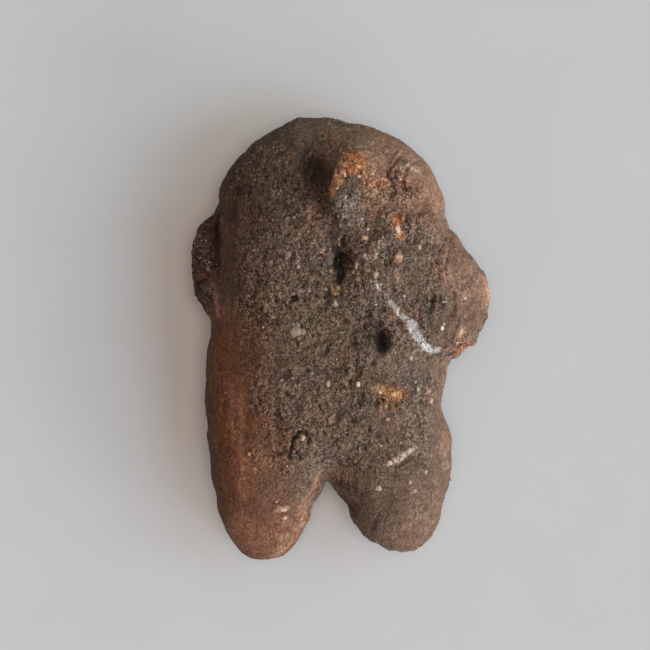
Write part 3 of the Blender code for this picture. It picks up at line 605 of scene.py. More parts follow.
def grit(u, v):
    """How gritty the front is, from 0 to 1: most on the chest and belly."""
    belly = step(v, 318, 352)
    g = 0.45 + 0.50 * step(u, 224 + 10 * belly, 258 + 26 * belly) * step(v, 176, 214)
    g = g + 0.32 * step(u, 222, 246) * (1.0 - step(u, 306, 334)) * step(v, 132, 152) * (1.0 - step(v, 178, 212))
    g = g + 0.22 * step(u, 335, 350) * (1.0 - step(v, 200, 215)) * step(v, 140, 160)
    g *= 1.0 - 0.30 * step(u, 420, 444)
    g *= 1.0 - 0.35 * step(v, 440, 490)
    for at, radii, turn, much in TOUCH:
        g = g + much * spot(u, v, at, radii, turn, 0.6)
    return np.clip(g, 0.10, 1.25)


# ==== the skin's form ==============================================================
def read(mesh):
    points = np.empty(len(mesh.vertices) * 3)
    mesh.vertices.foreach_get("co", points)
    normals = np.empty(len(mesh.vertices) * 3)
    mesh.vertex_normals.foreach_get("vector", normals)
    return points.reshape(-1, 3) / MM, normals.reshape(-1, 3)


def write(mesh, points):
    mesh.vertices.foreach_set("co", (points * MM).ravel())
    mesh.update()


def keep_numbers(mesh, name, values):
    kind = "FLOAT" if values.ndim == 1 else ("FLOAT_VECTOR" if values.shape[1] == 3 else "FLOAT_COLOR")
    field = {"FLOAT": "value", "FLOAT_VECTOR": "vector", "FLOAT_COLOR": "color"}[kind]
    old = mesh.attributes.get(name)
    if old:
        mesh.attributes.remove(old)
    mesh.attributes.new(name, kind, "POINT").data.foreach_set(field, values.astype(np.float32).ravel())


def numbers(mesh, name, width):
    data = mesh.attributes[name].data
    values = np.empty(len(data) * width, np.float32)
    data.foreach_get({1: "value", 3: "vector", 4: "color"}[width], values)
    return values.astype(np.float64).reshape(-1, width) if width > 1 else values.astype(np.float64)


def through(obj, *modifiers):
    """obj's mesh after the given modifiers, as a new mesh."""
    for kind, settings in modifiers:
        modifier = obj.modifiers.new(kind.lower(), kind)
        for name, value in settings.items():
            setattr(modifier, name, value)
    made = bpy.data.meshes.new_from_object(obj.evaluated_get(bpy.context.evaluated_depsgraph_get()))
    obj.modifiers.clear()
    obj.data = made
    return made


def link(obj):
    bpy.context.scene.collection.objects.link(obj)
    return obj


def fine_skin():
    """The solid with its facets rubbed away, as a dense even mesh."""
    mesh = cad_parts["figurine"].data.copy()
    obj = link(bpy.data.objects.new("clay_figurine", mesh))
    through(obj,
            ("WELD", {"merge_threshold": 1e-6}),
            ("REMESH", {"mode": "VOXEL", "voxel_size": FINE * MM, "adaptivity": 0.0, "use_smooth_shade": True}),
            ("SMOOTH", {"factor": 0.5, "iterations": RUB}))
    return obj


def front_share(normals):
    """1 on what faces up, 0 on what faces down, soft at the rim."""
    return step(normals[:, 2], -0.40, 0.10)


def open_the_crotch(points):
    """The legs part a little higher than the solid shows."""
    away = np.hypot((points[:, 0] + 1.75) / 1.3, (points[:, 1] + 19.6) / 1.9)
    pull = 1.0 - step(away, 0.0, 1.0)
    points[:, 1] += 1.25 * pull
    return points


def hand_relief(points, normals):
    """Lumps left by the fingers, in mm outwards."""
    out = 0.20 * rough(points, 8.5, 11, 2)
    out += 0.21 * rough(points, 3.1, 23, 2, stretch=(0.85, 1.25, 1.0))
    out += 0.05 * waves(points, 1.3, 29, stretch=(0.7, 2.8, 1.0))
    return out


def sunk_marks(u, v, front):
    """Depth of the pits and cracks below the plain front, in mm."""
    depth = np.zeros(len(u))
    for at, radii, turn, deep in PITS.values():
        depth = np.maximum(depth, deep * np.exp(-oval(u, v, at, radii, turn) ** 3.0 * 0.9))
    cracks = np.zeros(len(u))
    for path, half, deep in CRACKS.values():
        away, along = from_line(u, v, path)
        taper = 0.45 + 0.55 * np.sin(math.pi * np.clip(along, 0.06, 0.94))
        cracks = np.maximum(cracks, deep * taper * np.exp(-((away / (half * taper)) ** 2)))
    return (depth + cracks) * front


def raised_marks(u, v, front):
    """What stands proud of the front, in mm."""
    rise = 0.20 * spot(u, v, (352, 168), (12, 19), 8, 0.4)          # the nose's broken top
    rise += 0.35 * spot(u, v, (349, 208), (13, 26), 0, 0.6)         # rough plateau below it
    rise += 0.30 * spot(u, v, (312, 232), (12, 22), 0, 0.6)         # lump left of the mouth
    rise += 0.25 * spot(u, v, (272, 180), (14, 12), 0, 0.7)         # left brow
    rise += 0.25 * spot(u, v, (400, 160), (14, 12), 0, 0.7)         # right brow
    rise -= 0.22 * spot(u, v, (391, 393), (18, 9), 0, 0.25)         # flaked scar
    rise -= 0.16 * spot(u, v, (394, 222), (9, 9), 0, 0.4)           # chip in the eye
    rise += 0.25 * spot(u, v, (318, 262), (9, 14), 0, 0.6)
    rise += 0.16 * spot(u, v, (402, 457), (14, 4.0), -28, 0.6)      # raised streak of grains
    for path, height, reach in LEDGES.values():
        d = across_line(u, v, path)
        away, along = from_line(u, v, path)
        ends = step(along, 0.0, 0.15) * (1.0 - step(along, 0.85, 1.0))
        near_ends = np.where((along <= 0.0) | (along >= 1.0), 1.0 - step(away, 1.0, 6.0), 1.0)
        flank = step(d, -1.3, 1.3) * (1.0 - step(d, 0.2 * reach, reach))
        foot = -0.45 * (1.0 - step(d, -1.3, 1.3)) * (1.0 - step(-d, 0.5, 0.45 * reach))
        rise += height * (flank + foot) * np.maximum(ends, 0.0) * near_ends
    return rise * front


def grain_relief(points, coarse):
    """Crumbs, bumps and pits of the clay, in mm outwards; coarse is 0 to about 1.3."""
    drift = np.column_stack([waves(points, 1.4, 91), waves(points, 1.4, 92), waves(points, 1.4, 93)])
    p = points + 0.42 * drift
    tall = (0.85, 1.35, 1.0)
    crumbly = billow(p, 2.1, 101, 4, 0.64, tall) - 0.29
    out = 0.62 * crumbly
    hollow = rough(p, 1.7, 131, 4, 0.72, tall)
    out -= 0.22 * step(hollow, 0.16, 0.34)
    out += 0.12 * step(-hollow, 0.18, 0.40)
    near, next_near, own = crumbs(p + 17.3, 0.78, 211)
    radius = 0.20 + 0.22 * own
    round_top = np.clip(1.0 - (near / radius) ** 2, 0.0, 1.0)
    out += 0.13 * round_top * np.where(own > 0.45, 1.0, 0.0)
    out += 0.10 * rough(p, 0.66, 57, 2, 0.7)
    return out * coarse


def make_skin():
    obj = fine_skin()
    points, normals = read(obj.data)
    points = open_the_crotch(points)
    rest, rest_normals = points.copy(), normals.copy()
    u, v = seen_from_above(points)
    warp = 1.3 * waves(points, 1.1, 71), 1.3 * waves(points, 1.1, 72)
    uu, vv = u + warp[0], v + warp[1]
    front = front_share(normals)
    lift = step(points[:, 2], 0.02, 0.9)[:, None]      # the flat that it lies on stays flat
    level = normals[:, :2] / np.maximum(np.hypot(normals[:, 0], normals[:, 1]), 0.35)[:, None]
    for at, push, radius in RIM:
        share = np.exp(-(((u - at[0]) ** 2 + (v - at[1]) ** 2) / radius**2))
        points[:, :2] += level * (push * UNIT * share)[:, None] * lift

    points = points + normals * hand_relief(points, normals)[:, None] * lift
    sunk = sunk_marks(uu, vv, front)
    points[:, 2] += raised_marks(uu, vv, front) - sunk
    write(obj.data, points)
    points, normals = read(obj.data)

    coarse = 0.42 + (grit(u, v) - 0.42) * front
    coarse = coarse * (1.0 + 0.45 * rough(points, 4.0, 83, 2))
    fine = grain_relief(rest, np.clip(coarse, 0.12, 1.3))
    points = points + normals * fine[:, None] * lift
    points[:, 2] = np.maximum(points[:, 2], 0.0)
    over = np.maximum(points[:, 2] - CALM_FROM, 0.0)      # no peak stands far above the solid
    points[:, 2] += CALM * (1.0 - np.exp(-over / CALM)) - over
    write(obj.data, points)

    keep_numbers(obj.data, "rest", rest)
    keep_numbers(obj.data, "rest_normal", rest_normals)
    keep_numbers(obj.data, "fine", fine)
    keep_numbers(obj.data, "sunk", sunk)
    keep_numbers(obj.data, "coarse", coarse)

    triangles = sum(len(p.vertices) - 2 for p in obj.data.polygons)
    if triangles > MOST_TRIANGLES:
        group = obj.vertex_groups.new(name="plainer")
        plain = 1.0 - step(rest_normals[:, 2], -0.25, 0.25)
        for share in (1.0,):
            group.add([int(k) for k in np.nonzero(plain > 0.5)[0]], share, "REPLACE")
        through(obj, ("TRIANGULATE", {}),
                ("DECIMATE", {"ratio": MOST_TRIANGLES / triangles, "vertex_group": "plainer",
                              "vertex_group_factor": 1.2}))
        obj.vertex_groups.clear()
    return obj


# ==== its colours =====================================================================
def blend(colours, target, share):
    return colours + (np.array(target) - colours) * share[:, None]


def firing_colours(rest, normals, fine, sunk, coarse):
    """The colour of each point, linear: what the fire, the soil and wear left, with painted shade in its hollows,
    creases and pits and painted light on a lit edge.
    """
    u, v = seen_from_above(rest)
    u = u + 5.0 * rough(rest, 3.4, 301, 3)
    v = v + 5.0 * rough(rest, 3.4, 302, 3)
    front = front_share(normals)
    c = np.empty((len(u), 3))
    c[:] = CHEST
    c = blend(c, RIGHT_CHEST, step(u, 366, 400) * step(v, 200, 240))
    c = blend(c, FOREHEAD, step(u, 352, 386) * (1.0 - step(v, 205, 246)))
    c = blend(c, SOOT_DOME, (1.0 - step(u, 316, 346)) * (1.0 - step(v, 172, 226)))
    crown = np.array(CROWN_LEFT) + (np.array(CROWN_RIGHT) - np.array(CROWN_LEFT)) * step(u, 300, 392)[:, None]
    c = c + (crown - c) * (step(u, 262, 306) * (1.0 - step(v, 126, 158)))[:, None]
    c = blend(c, RIGHT_LEG, step(u, 366, 400) * step(v, 415, 460))
    lower = step(v, 285, 325)
    c = blend(c, RIGHT_RIM, step(u, 424, 449) * (1.0 - 0.42 * lower - 0.15 * step(v, 360, 420)))
    c = blend(c, RIGHT_RIM, (0.8 - 0.25 * lower) * step(u, 446, 466))
    c = blend(c, RIGHT_LEG_OUTER, step(u, 424, 446) * step(v, 415, 440))
    c = blend(c, RIGHT_LEG_OUTER, 0.9 * step(v, 508, 540) * step(u, 380, 405))
    c = blend(c, (0.165, 0.108, 0.078), 0.8 * spot(u, v, (338, 458), (26, 22), 0, 0.5))
    # the right leg's inner side painted darker: painted shade
    c = blend(c, RIGHT_LEG_INNER_SHADE, step(v, 484, 504) * (1.0 - step(u, 356, 384)) * step(u, 322, 328))
    edge = 259 + 26 * step(v, 395, 440)
    c = blend(c, RED_HIP, (1.0 - step(u, edge - 8, edge + 22)) * step(v, 296, 352))
    c = blend(c, RED_FLANK, (1.0 - step(u, edge - 34, edge - 8)) * step(v, 286, 330))
    c = blend(c, SOOT_FLANK, (1.0 - step(u, 232, 256)) * (1.0 - step(v, 284, 318)))
    c = blend(c, SOOT_ARM, (1.0 - step(u, 211, 219)) * (1.0 - step(v, 300, 318)))
    c = blend(c, LEG_END, (1.0 - step(u, 315, 325)) * step(v, 494, 530))
    c = blend(c, LEG_EDGE, step(u, 286, 306) * (1.0 - step(u, 324, 327)) * step(v, 482, 515))

    side = step(rest[:, 0], -14.0, 12.0)[:, None]
    back = np.array(RED_FLANK) * (1.0 - side) + np.array(RIGHT_LEG_OUTER) * side
    back = back + (np.array(BACK) - back) * 0.6
    back = back + (np.array(BACK_SOOT) - back) * (0.85 * step(rough(rest, 11.0, 311, 3), 0.05, 0.40))[:, None]
    back = back + (np.array(SOOT_ARM) - back) * (0.8 * (1 - step(rest[:, 0], -18.5, -16.0)))[:, None]
    c = back + (c - back) * front[:, None]

    u, v = seen_from_above(rest)
    ragged = rough(rest, 0.9, 331, 2, 0.7)
    uu = u + 2.2 * rough(rest, 1.2, 321, 2)
    vv = v + 2.2 * rough(rest, 1.2, 322, 2)
    calm = np.zeros(len(u))
    for name, (colour, at, radii, turn, strength) in PATCHES.items():
        edge = 0.15 if name in ("scar", "broken nose", "eye chip") else 0.35
        share = spot(uu, vv, at, radii, turn, edge) * strength
        if name.startswith(("broken nose", "scar", "eye chip", "ring", "arm, broken", "nose, right")):
            calm = np.maximum(calm, share * 0.45)
        c = blend(c, colour, np.clip(share * np.clip(0.72 + 0.9 * ragged, 0.0, 1.2), 0.0, 1.0) * front)
    for colour, path, halves, strength in STREAKS.values():
        away, along = from_line(uu, vv, path)
        half = halves[0] + (halves[1] - halves[0]) * along
        share = (1.0 - step(away / half, 0.55, 1.35)) * strength
        c = blend(c, colour, share * front * np.clip(0.75 + 0.9 * ragged, 0.0, 1.0))

    c = c * np.exp(0.22 * rough(rest, 2.6, 341, 3) + 0.10 * rough(rest, 0.8, 342, 2))[:, None]
    warm = 0.07 * rough(rest, 5.5, 351, 3)
    c = c * (1.0 + np.outer(warm, (1.0, -0.2, -0.9)))
    # darker in the hollows of the crumbly relief and paler on its tops: painted shade and painted highlight, partly
    # soil and rubbing too
    c = c * np.clip(1.0 + 2.0 * fine, 0.40, 1.5)[:, None]

    u2, v2 = u + 0.8 * ragged, v + 0.8 * rough(rest, 0.9, 332, 2, 0.7)
    away, along = from_line(u2, v2, SCRATCH[0])
    thin = 1.0 - step(away / (SCRATCH[1][0] + (SCRATCH[1][1] - SCRATCH[1][0]) * along), 0.55, 1.2)
    away, along = from_line(u2, v2, SCRATCH_END[0])
    wide = 1.0 - step(away / (SCRATCH_END[1][0] + (SCRATCH_END[1][1] - SCRATCH_END[1][0]) * along), 0.65, 1.1)
    chalk = np.maximum(thin * 0.97, wide) * front * np.clip(0.86 + 2.2 * fine + 0.5 * ragged, 0.15, 1.0)
    c = c * (1.025, 0.970, 0.895)
    c[:, 1] *= 1.0 + 0.045 * rough(rest, 1.7, 341, 2) + 0.020 * rough(rest, 5.0, 343, 2)   # olive and purplish by turns
    c = blend(c, (0.560, 0.495, 0.455), chalk)

    # the deeper pits and cracks are painted near black: painted shade in them
    deep = step(sunk, 0.12, 0.75)
    c = blend(c, HOLLOW_SHADE, 0.80 * deep * front)
    return np.clip(c, 0.004, 0.9), chalk, np.maximum(calm, 0.7 * chalk)


def colour_the_skin(obj):
    mesh = obj.data
    rest, normals = numbers(mesh, "rest", 3), numbers(mesh, "rest_normal", 3)
    fine, sunk, coarse = (numbers(mesh, name, 1) for name in ("fine", "sunk", "coarse"))
    colours, chalk, calm = firing_colours(rest, normals, fine, sunk, coarse)
    keep_numbers(mesh, "clay_tone", np.column_stack([colours, np.ones(len(colours))]))
    keep_numbers(mesh, "clay_grit", np.clip(coarse, 0.0, 1.2))
    keep_numbers(mesh, "clay_chalk", chalk)
    keep_numbers(mesh, "clay_calm", calm)
    for name in ("rest", "rest_normal", "fine", "sunk", "coarse"):
        mesh.attributes.remove(mesh.attributes[name])


# ==== the grains =========================================================================
def icosahedron():
    t = (1.0 + 5.0**0.5) / 2.0
    points = np.array([(-1, t, 0), (1, t, 0), (-1, -t, 0), (1, -t, 0), (0, -1, t), (0, 1, t),
                       (0, -1, -t), (0, 1, -t), (t, 0, -1), (t, 0, 1), (-t, 0, -1), (-t, 0, 1)], float)
    faces = np.array([(0, 11, 5), (0, 5, 1), (0, 1, 7), (0, 7, 10), (0, 10, 11), (1, 5, 9), (5, 11, 4),
                      (11, 10, 2), (10, 7, 6), (7, 1, 8), (3, 9, 4), (3, 4, 2), (3, 2, 6), (3, 6, 8),
                      (3, 8, 9), (4, 9, 5), (2, 4, 11), (6, 2, 10), (8, 6, 7), (9, 8, 1)])
    return points / np.linalg.norm(points[0]), faces


def finer_ball(points, faces):
    """Each triangle cut into four, the new points pushed out to the ball."""
    points, made, found = [tuple(p) for p in points], [], {}

    def middle(a, b):
        key = (min(a, b), max(a, b))
        if key not in found:
            m = np.array(points[a]) + np.array(points[b])
            points.append(tuple(m / np.linalg.norm(m)))
            found[key] = len(points) - 1
        return found[key]

    for a, b, c in faces:
        ab, bc, ca = middle(a, b), middle(b, c), middle(c, a)
        made += [(a, ab, ca), (b, bc, ab), (c, ca, bc), (ab, bc, ca)]
    return np.array(points), np.array(made)


def frames(normals, turns):
    """Two directions across each normal, turned by turns."""
    helper = np.where(np.abs(normals[:, 2:3]) < 0.9, (0.0, 0.0, 1.0), (0.0, 1.0, 0.0))
    side = np.cross(helper, normals)
    side /= np.linalg.norm(side, axis=1, keepdims=True)
    other = np.cross(normals, side)
    c, s = np.cos(turns)[:, None], np.sin(turns)[:, None]
    return side * c + other * s, other * c - side * s


def lumps(points, faces, centres, normals, radii, turns, sink, uneven, rng):
    """Copies of one ball, each flattened, turned, dented and half sunk at its place."""
    across, up = frames(normals, turns)
    dent = 1.0 + uneven * rng.uniform(-1.0, 1.0, (len(centres), len(points)))
    local = points[None] * dent[..., None]
    placed = (local[..., 0:1] * (across * radii[:, 0:1])[:, None] + local[..., 1:2] * (up * radii[:, 1:2])[:, None]
              + local[..., 2:3] * (normals * radii[:, 2:3])[:, None])
    placed += (centres - normals * (radii[:, 2] * sink)[:, None])[:, None]
    made = faces[None] + (np.arange(len(centres)) * len(points))[:, None, None]
    return placed.reshape(-1, 3), made.reshape(-1, 3)


def make_grains(skin):
    """Sand in the clay: the larger grains where they show, and many small ones."""
    mesh = skin.data
    points, normals = read(mesh)
    coarse = numbers(mesh, "clay_grit", 1)
    tone = numbers(mesh, "clay_tone", 4)[:, :3]
    corners = np.empty(len(mesh.loops), np.int64)
    mesh.loops.foreach_get("vertex_index", corners)
    mesh.calc_loop_triangles()
    tri = np.empty(len(mesh.loop_triangles) * 3, np.int64)
    mesh.loop_triangles.foreach_get("vertices", tri)
    tri = tri.reshape(-1, 3)
    rng = np.random.default_rng(4127)

    a, b, c = points[tri[:, 0]], points[tri[:, 1]], points[tri[:, 2]]
    flat = np.cross(b - a, c - a)
    area = 0.5 * np.linalg.norm(flat, axis=1)
    middle = (a + b + c) / 3.0
    up = front_share(normals[tri[:, 0]])
    dense = np.clip(coarse[tri].mean(1), 0.0, 1.3) ** 2.2 * (0.35 + 0.65 * up) + 0.012
    dense *= np.clip(1.0 + 1.3 * rough(middle, 2.2, 411, 2), 0.1, 3.0)
    dense *= step(middle[:, 2], 0.15, 0.8) * step(tone[tri].mean((1, 2)), 0.019, 0.030)
    mu, mv = seen_from_above(middle)
    for at, radii, turn in (((312, 168), (17, 24), -30), ((380, 339), (8, 15), 0), ((341, 262), (7, 16), 5)):
        dense *= 1.0 - 0.95 * spot(mu, mv, at, radii, turn, 0.4)       # the hollows keep few
    weight = area * dense
    count = 4600
    chosen = rng.choice(len(tri), count, p=weight / weight.sum())
    mix = rng.dirichlet((1.0, 1.0, 1.0), count)
    at = (points[tri[chosen]] * mix[..., None]).sum(1)
    n = (normals[tri[chosen]] * mix[..., None]).sum(1)
    n /= np.linalg.norm(n, axis=1, keepdims=True)
    size = 0.060 + 0.050 * rng.gamma(1.3, 0.9, count)
    size = np.clip(size, 0.060, 0.34)
    radii = size[:, None] * rng.uniform(0.65, 1.45, (count, 3)) * (1.0, 1.0, 0.8)
    ball, faces = icosahedron()
    small, small_faces = lumps(ball, faces, at, n, radii, rng.uniform(0, 6.28, count), 0.30, 0.24, rng)

    own = (tone[tri[chosen]] * mix[..., None]).sum(1)
    kinds = np.array([PALE, DULL, CREAM, SANDY, (0.400, 0.235, 0.155), (0.030, 0.022, 0.018), (0.170, 0.118, 0.086)])
    kind = rng.choice(len(kinds), count, p=(0.10, 0.22, 0.02, 0.06, 0.05, 0.15, 0.40))
    share = rng.beta(1.3, 2.0, count)[:, None] * np.clip(0.35 + 0.75 * coarse[tri[chosen]].mean(1), 0.0, 1.0)[:, None]
    share *= np.clip(1.9 - 7.0 * size, 0.25, 1.25)[:, None]         # the larger, the plainer
    tint = own * 1.15 + (kinds[kind] - own * 1.15) * share
    tint = np.clip(tint * rng.uniform(0.8, 1.2, (count, 1)), 0.01, 0.85)

    # the named ones, found on the front by the view
    ball2, faces2 = finer_ball(ball, faces)
    u, v = seen_from_above(points)
    facing = normals[:, 2] > 0.05
    big_at, big_n, big_r, big_c = [], [], [], []
    for (cu, cv), (ru, rv), colour in GRAINS:
        away = np.where(facing, (u - cu) ** 2 + (v - cv) ** 2, 1e9)
        near = np.argsort(away)[:24]
        big_at.append(points[near].mean(0))
        big_n.append(normals[near].mean(0))
        big_r.append((ru * UNIT, rv * UNIT, 0.62 * UNIT * min(ru, rv)))
        big_c.append(colour)
    big_at, big_n, big_r, big_c = (np.array(x) for x in (big_at, big_n, big_r, big_c))
    big_n /= np.linalg.norm(big_n, axis=1, keepdims=True)
    helper = np.tile((0.0, 1.0, 0.0), (len(big_n), 1))
    across = np.cross(helper, big_n)
    across /= np.linalg.norm(across, axis=1, keepdims=True)
    along = np.cross(big_n, across)
    dent = 1.0 + 0.16 * rng.uniform(-1.0, 1.0, (len(big_n), len(ball2)))
    local = ball2[None] * dent[..., None]
    large = (local[..., 0:1] * (across * big_r[:, 0:1])[:, None] + local[..., 1:2] * (along * big_r[:, 1:2])[:, None]
             + local[..., 2:3] * (big_n * big_r[:, 2:3])[:, None])
    large += (big_at - big_n * (big_r[:, 2] * 0.35)[:, None])[:, None]
    large_faces = faces2[None] + (np.arange(len(big_n)) * len(ball2))[:, None, None] + len(small)
    large, large_faces = large.reshape(-1, 3), large_faces.reshape(-1, 3)

    everything = np.vstack([small, large])
    everything[:, 2] = np.maximum(everything[:, 2], 0.02)
    all_faces = np.vstack([small_faces, large_faces])
    colours = np.vstack([np.repeat(tint, len(ball), axis=0), np.repeat(big_c * 0.92, len(ball2), axis=0)])
    made = bpy.data.meshes.new("sand_grains")
    made.from_pydata((everything * MM).tolist(), [], all_faces.tolist())
    made.update()
    made.shade_flat()
    keep_numbers(made, "grain_tint", np.column_stack([colours, np.ones(len(colours))]))
    return link(bpy.data.objects.new("sand_grains", made))


# ==== materials ===========================================================================
class Graph:
    """A few words for building a material's nodes."""

    def __init__(self, name):
        self.material = bpy.data.materials.new(name)
        self.material.use_nodes = True
        self.tree = self.material.node_tree
        self.shader = self.tree.nodes["Principled BSDF"]
        coordinates = self.tree.nodes.new("ShaderNodeTexCoord")
        scale = self.tree.nodes.new("ShaderNodeVectorMath")
        scale.operation = "SCALE"
        scale.inputs["Scale"].default_value = 1.0 / MM
        self.tree.links.new(coordinates.outputs["Object"], scale.inputs[0])
        self.place = scale.outputs[0]

    def put(self, socket, value):
        if isinstance(value, bpy.types.NodeSocket):
            self.tree.links.new(value, socket)
        else:
            socket.default_value = value

    def attribute(self, name, output="Fac"):
        node = self.tree.nodes.new("ShaderNodeAttribute")
        node.attribute_name = name
        return node.outputs[output]

    def noise(self, size, detail=2.0, roughness=0.5, distortion=0.0, tall=1.0, output="Fac"):
        node = self.tree.nodes.new("ShaderNodeTexNoise")
        place = self.place
        if tall != 1.0:
            squeeze = self.tree.nodes.new("ShaderNodeVectorMath")
            squeeze.operation = "MULTIPLY"
            self.put(squeeze.inputs[0], self.place)
            squeeze.inputs[1].default_value = (1.0, 1.0 / tall, 1.0)
            place = squeeze.outputs[0]
        self.put(node.inputs["Vector"], place)
        node.inputs["Scale"].default_value = 1.0 / size
        node.inputs["Detail"].default_value = detail
        node.inputs["Roughness"].default_value = roughness
        node.inputs["Distortion"].default_value = distortion
        return node.outputs[output]

    def cells(self, size, output="Distance"):
        node = self.tree.nodes.new("ShaderNodeTexVoronoi")
        self.put(node.inputs["Vector"], self.place)
        node.inputs["Scale"].default_value = 1.0 / size
        return node.outputs[output]

    def math(self, operation, a, b=0.0, c=0.0, clamp=False):
        node = self.tree.nodes.new("ShaderNodeMath")
        node.operation, node.use_clamp = operation, clamp
        for socket, value in zip(node.inputs, (a, b, c)):
            self.put(socket, value)
        return node.outputs[0]

    def ramp(self, value, low, high, out_low=0.0, out_high=1.0, smooth=True):
        node = self.tree.nodes.new("ShaderNodeMapRange")
        node.interpolation_type = "SMOOTHSTEP" if smooth else "LINEAR"
        for name, given in (("Value", value), ("From Min", low), ("From Max", high), ("To Min", out_low), ("To Max", out_high)):
            self.put(node.inputs[name], given)
        return node.outputs["Result"]

    def mix(self, share, a, b, way="MIX"):
        node = self.tree.nodes.new("ShaderNodeMix")
        node.data_type, node.blend_type = "RGBA", way
        self.put(node.inputs[0], share)
        for socket, value in ((node.inputs[6], a), (node.inputs[7], b)):
            self.put(socket, (*value, 1.0) if isinstance(value, tuple) else value)
        return node.outputs[2]

    def separate(self, colour):
        node = self.tree.nodes.new("ShaderNodeSeparateColor")
        self.put(node.inputs[0], colour)
        return node.outputs

    def bump(self, height, distance, strength=1.0, before=None):
        node = self.tree.nodes.new("ShaderNodeBump")
        node.inputs["Strength"].default_value = strength
        node.inputs["Distance"].default_value = distance * MM
        self.put(node.inputs["Height"], height)
        if before is not None:
            self.put(node.inputs["Normal"], before)
        return node.outputs["Normal"]


def clay_material():
    g = Graph("fired_clay_skin")
    tone, coarse, chalk = g.attribute("clay_tone", "Color"), g.attribute("clay_grit"), g.attribute("clay_chalk")
    calm = g.attribute("clay_calm")
    fine = g.noise(0.25, 2.0, 0.70, 0.0, tall=1.35)
    crumb = g.noise(0.62, 2.0, 0.66, 0.2, tall=1.4)
    clump = g.noise(1.9, 2.0, 0.6, 0.3, tall=1.3)
    hue = g.separate(g.noise(0.52, 2.0, 0.6, tall=1.3, output="Color"))

    # the clay between the grains: darker and lighter by turns
    spread = g.ramp(coarse, 0.2, 1.1, 0.52, 1.10)
    swing = g.math("ADD", g.math("MULTIPLY", g.math("SUBTRACT", fine, 0.5), 5.6),
                   g.math("MULTIPLY", g.math("SUBTRACT", crumb, 0.5), 2.9))
    spread = g.math("MULTIPLY", spread, g.ramp(clump, 0.36, 0.62, 0.62, 1.28))
    spread = g.math("MULTIPLY", spread, g.math("MULTIPLY_ADD", calm, -0.70, 1.0))
    value = g.math("MAXIMUM", g.math("MULTIPLY_ADD", swing, spread, 1.0), g.ramp(coarse, 0.3, 1.0, 0.66, 0.34))
    plain = g.math("MULTIPLY", spread, g.math("MULTIPLY_ADD", chalk, -0.9, 1.0))
    warm = g.math("MULTIPLY_ADD", g.math("SUBTRACT", hue[0], 0.5), g.math("MULTIPLY", plain, 0.42), 1.0)
    cold = g.math("MULTIPLY_ADD", g.math("SUBTRACT", hue[1], 0.5), g.math("MULTIPLY", plain, -0.62), 1.0)
    parts = g.separate(tone)
    grey = g.math("MULTIPLY_ADD", parts[1], 0.7, g.math("MULTIPLY", parts[0], 0.3))
    up = g.math("MAXIMUM", g.math("SUBTRACT", value, 1.0), 0.0)     # paler spots are greyer too
    strength = g.math("MULTIPLY_ADD", up, 0.40, g.math("MINIMUM", value, 1.0))
    grey = g.math("MULTIPLY", grey, g.math("MULTIPLY", up, 0.60))
    tint = g.tree.nodes.new("ShaderNodeCombineColor")
    g.put(tint.inputs[0], g.math("MULTIPLY", strength, warm))
    g.put(tint.inputs[1], strength)
    g.put(tint.inputs[2], g.math("MULTIPLY", strength, cold))
    colour = g.mix(1.0, g.mix(1.0, tone, tint.outputs[0], "MULTIPLY"), grey, "ADD")

    # specks too small to be grains of their own, and pores, both ragged; the pores are painted near black, which is
    # painted shade in them
    speck = g.noise(0.29, 2.0, 0.75, 0.2, tall=1.15)
    is_speck = g.math("MULTIPLY", g.ramp(speck, 0.65, 0.74), g.ramp(coarse, 0.20, 0.95, 0.36, 0.95))
    speck_colour = g.mix(g.ramp(hue[2], 0.52, 0.66), (0.560, 0.440, 0.350), (0.500, 0.330, 0.225))
    colour = g.mix(is_speck, colour, speck_colour)
    pore = g.noise(0.42, 2.0, 0.70, 0.3, tall=1.9)
    is_pore = g.math("MULTIPLY", g.ramp(pore, 0.39, 0.30), g.ramp(coarse, 0.40, 1.0, 0.10, 0.90))
    is_pore = g.math("MULTIPLY", is_pore, g.math("MULTIPLY_ADD", calm, -0.85, 1.0))
    # the pores' near-black colour: painted shade
    colour = g.mix(is_pore, colour, (0.022, 0.014, 0.010))
    g.put(g.shader.inputs["Base Color"], colour)

    g.put(g.shader.inputs["Roughness"], g.ramp(fine, 0.3, 0.7, 0.78, 0.95))
    g.shader.inputs["Specular IOR Level"].default_value = 0.28

    height = g.math("MULTIPLY", g.math("ADD", g.math("MULTIPLY", fine, 0.9), g.math("MULTIPLY", crumb, 1.1)),
                    g.ramp(coarse, 0.2, 1.0, 0.6, 1.3))
    height = g.math("MULTIPLY_ADD", is_speck, 0.4, height)
    height = g.math("SUBTRACT", height, g.math("MULTIPLY", is_pore, 0.8))
    height = g.math("ADD", height, g.math("MULTIPLY", chalk, 0.12))
    g.put(g.shader.inputs["Normal"], g.bump(height, 0.36))
    return g.material


def grain_material():
    g = Graph("sand")
    tint = g.attribute("grain_tint", "Color")
    fine = g.noise(0.16, 2.0, 0.6)
    g.put(g.shader.inputs["Base Color"], g.mix(1.0, tint, g.ramp(fine, 0.3, 0.7, 0.78, 1.2, smooth=False), "MULTIPLY"))
    g.put(g.shader.inputs["Roughness"], g.ramp(fine, 0.3, 0.7, 0.50, 0.80))
    g.shader.inputs["Specular IOR Level"].default_value = 0.4
    g.put(g.shader.inputs["Normal"], g.bump(fine, 0.03))
    return g.material


def table_material():
    g = Graph("pale_table")
    fine = g.noise(18.0, 2.0, 0.5)
    g.put(g.shader.inputs["Base Color"], g.mix(g.ramp(fine, 0.3, 0.7, 0.0, 1.0), (0.556, 0.556, 0.556), (0.564, 0.564, 0.564)))
    g.shader.inputs["Roughness"].default_value = 0.85
    g.shader.inputs["Specular IOR Level"].default_value = 0.15
    return g.material


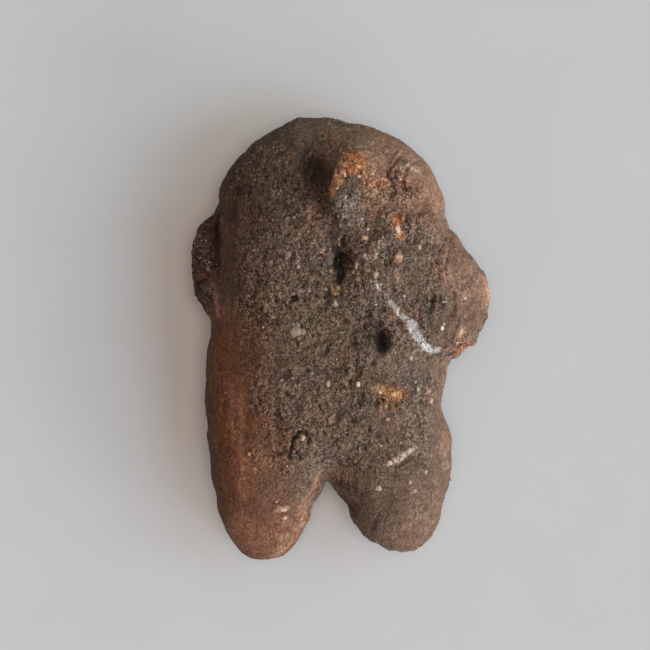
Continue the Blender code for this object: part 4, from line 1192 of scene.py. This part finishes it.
# ==== table, light and camera ===============================================================
def table():
    half = 1.5
    mesh = bpy.data.meshes.new("table")
    mesh.from_pydata([(-half, -half, 0), (half, -half, 0), (half, half, 0), (-half, half, 0)], [], [(0, 1, 2, 3)])
    obj = link(bpy.data.objects.new("table", mesh))
    mesh.materials.append(table_material())
    return obj


# Soft light: (direction round from +X, height above the table, both in degrees, and its strength)
LIGHTS = {
    "window_right_low": ((-30, 15), (1.092, 0.986, 0.980)),
    "window_front_low": ((-60, 15), (0.894, 0.960, 0.963)),
    "window_right": ((0, 32), (0.499, 0.627, 0.677)),
    "window_top": ((-30, 50), (0.312, 0.503, 0.706)),
    "window_far": ((30, 50), (0.123, 0.225, 0.293)),
    "window_far_low": ((30, 15), (0.292, 0.354, 0.306)),
    "bounce_front": ((-120, 15), (0.379, 0.342, 0.360)),
    "ceiling": ((0, 88), (1.332, 1.052, 0.889)),
}
ROOM = (0.169, 0.166, 0.147)
SOFTNESS = 26.0


def light():
    for name, ((around, above), colour) in LIGHTS.items():
        lamp = bpy.data.lights.new(name, "SUN")
        lamp.energy = max(colour)
        lamp.color = tuple(c / max(colour) for c in colour)
        lamp.angle = math.radians(SOFTNESS)
        a, e = math.radians(around), math.radians(above)
        way = Vector((math.cos(a) * math.cos(e), math.sin(a) * math.cos(e), math.sin(e)))
        obj = link(bpy.data.objects.new(name, lamp))
        obj.location = way * 0.5
        obj.rotation_euler = way.to_track_quat("Z", "Y").to_euler()
    world = bpy.data.worlds.new("room")
    world.use_nodes = True
    background = world.node_tree.nodes["Background"]
    background.inputs["Color"].default_value = (*ROOM, 1.0)
    background.inputs["Strength"].default_value = 1.0
    bpy.context.scene.world = world


def camera():
    lens = bpy.data.cameras.new("from_above")
    lens.sensor_width = 24.0
    lens.lens = 24.0 * (EYE_ABOVE / UNIT) / VIEW
    lens.clip_start, lens.clip_end = 0.01, 10.0
    obj = link(bpy.data.objects.new("from_above", lens))
    obj.location = (EYE_X * MM, EYE_Y * MM, (LEVEL + EYE_ABOVE) * MM)
    bpy.context.scene.camera = obj


# ==== all of it ==============================================================================
camera()
skin = make_skin()
colour_the_skin(skin)
grains = make_grains(skin)
skin.data.materials.clear()
skin.data.materials.append(clay_material())
skin.data.shade_smooth()
grains.data.materials.append(grain_material())

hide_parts("figurine")
for piece in (skin, grains):
    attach(piece, "root")
table()
light()

bpy.context.scene.view_settings.view_transform = "Standard"
bpy.context.view_layer.update()
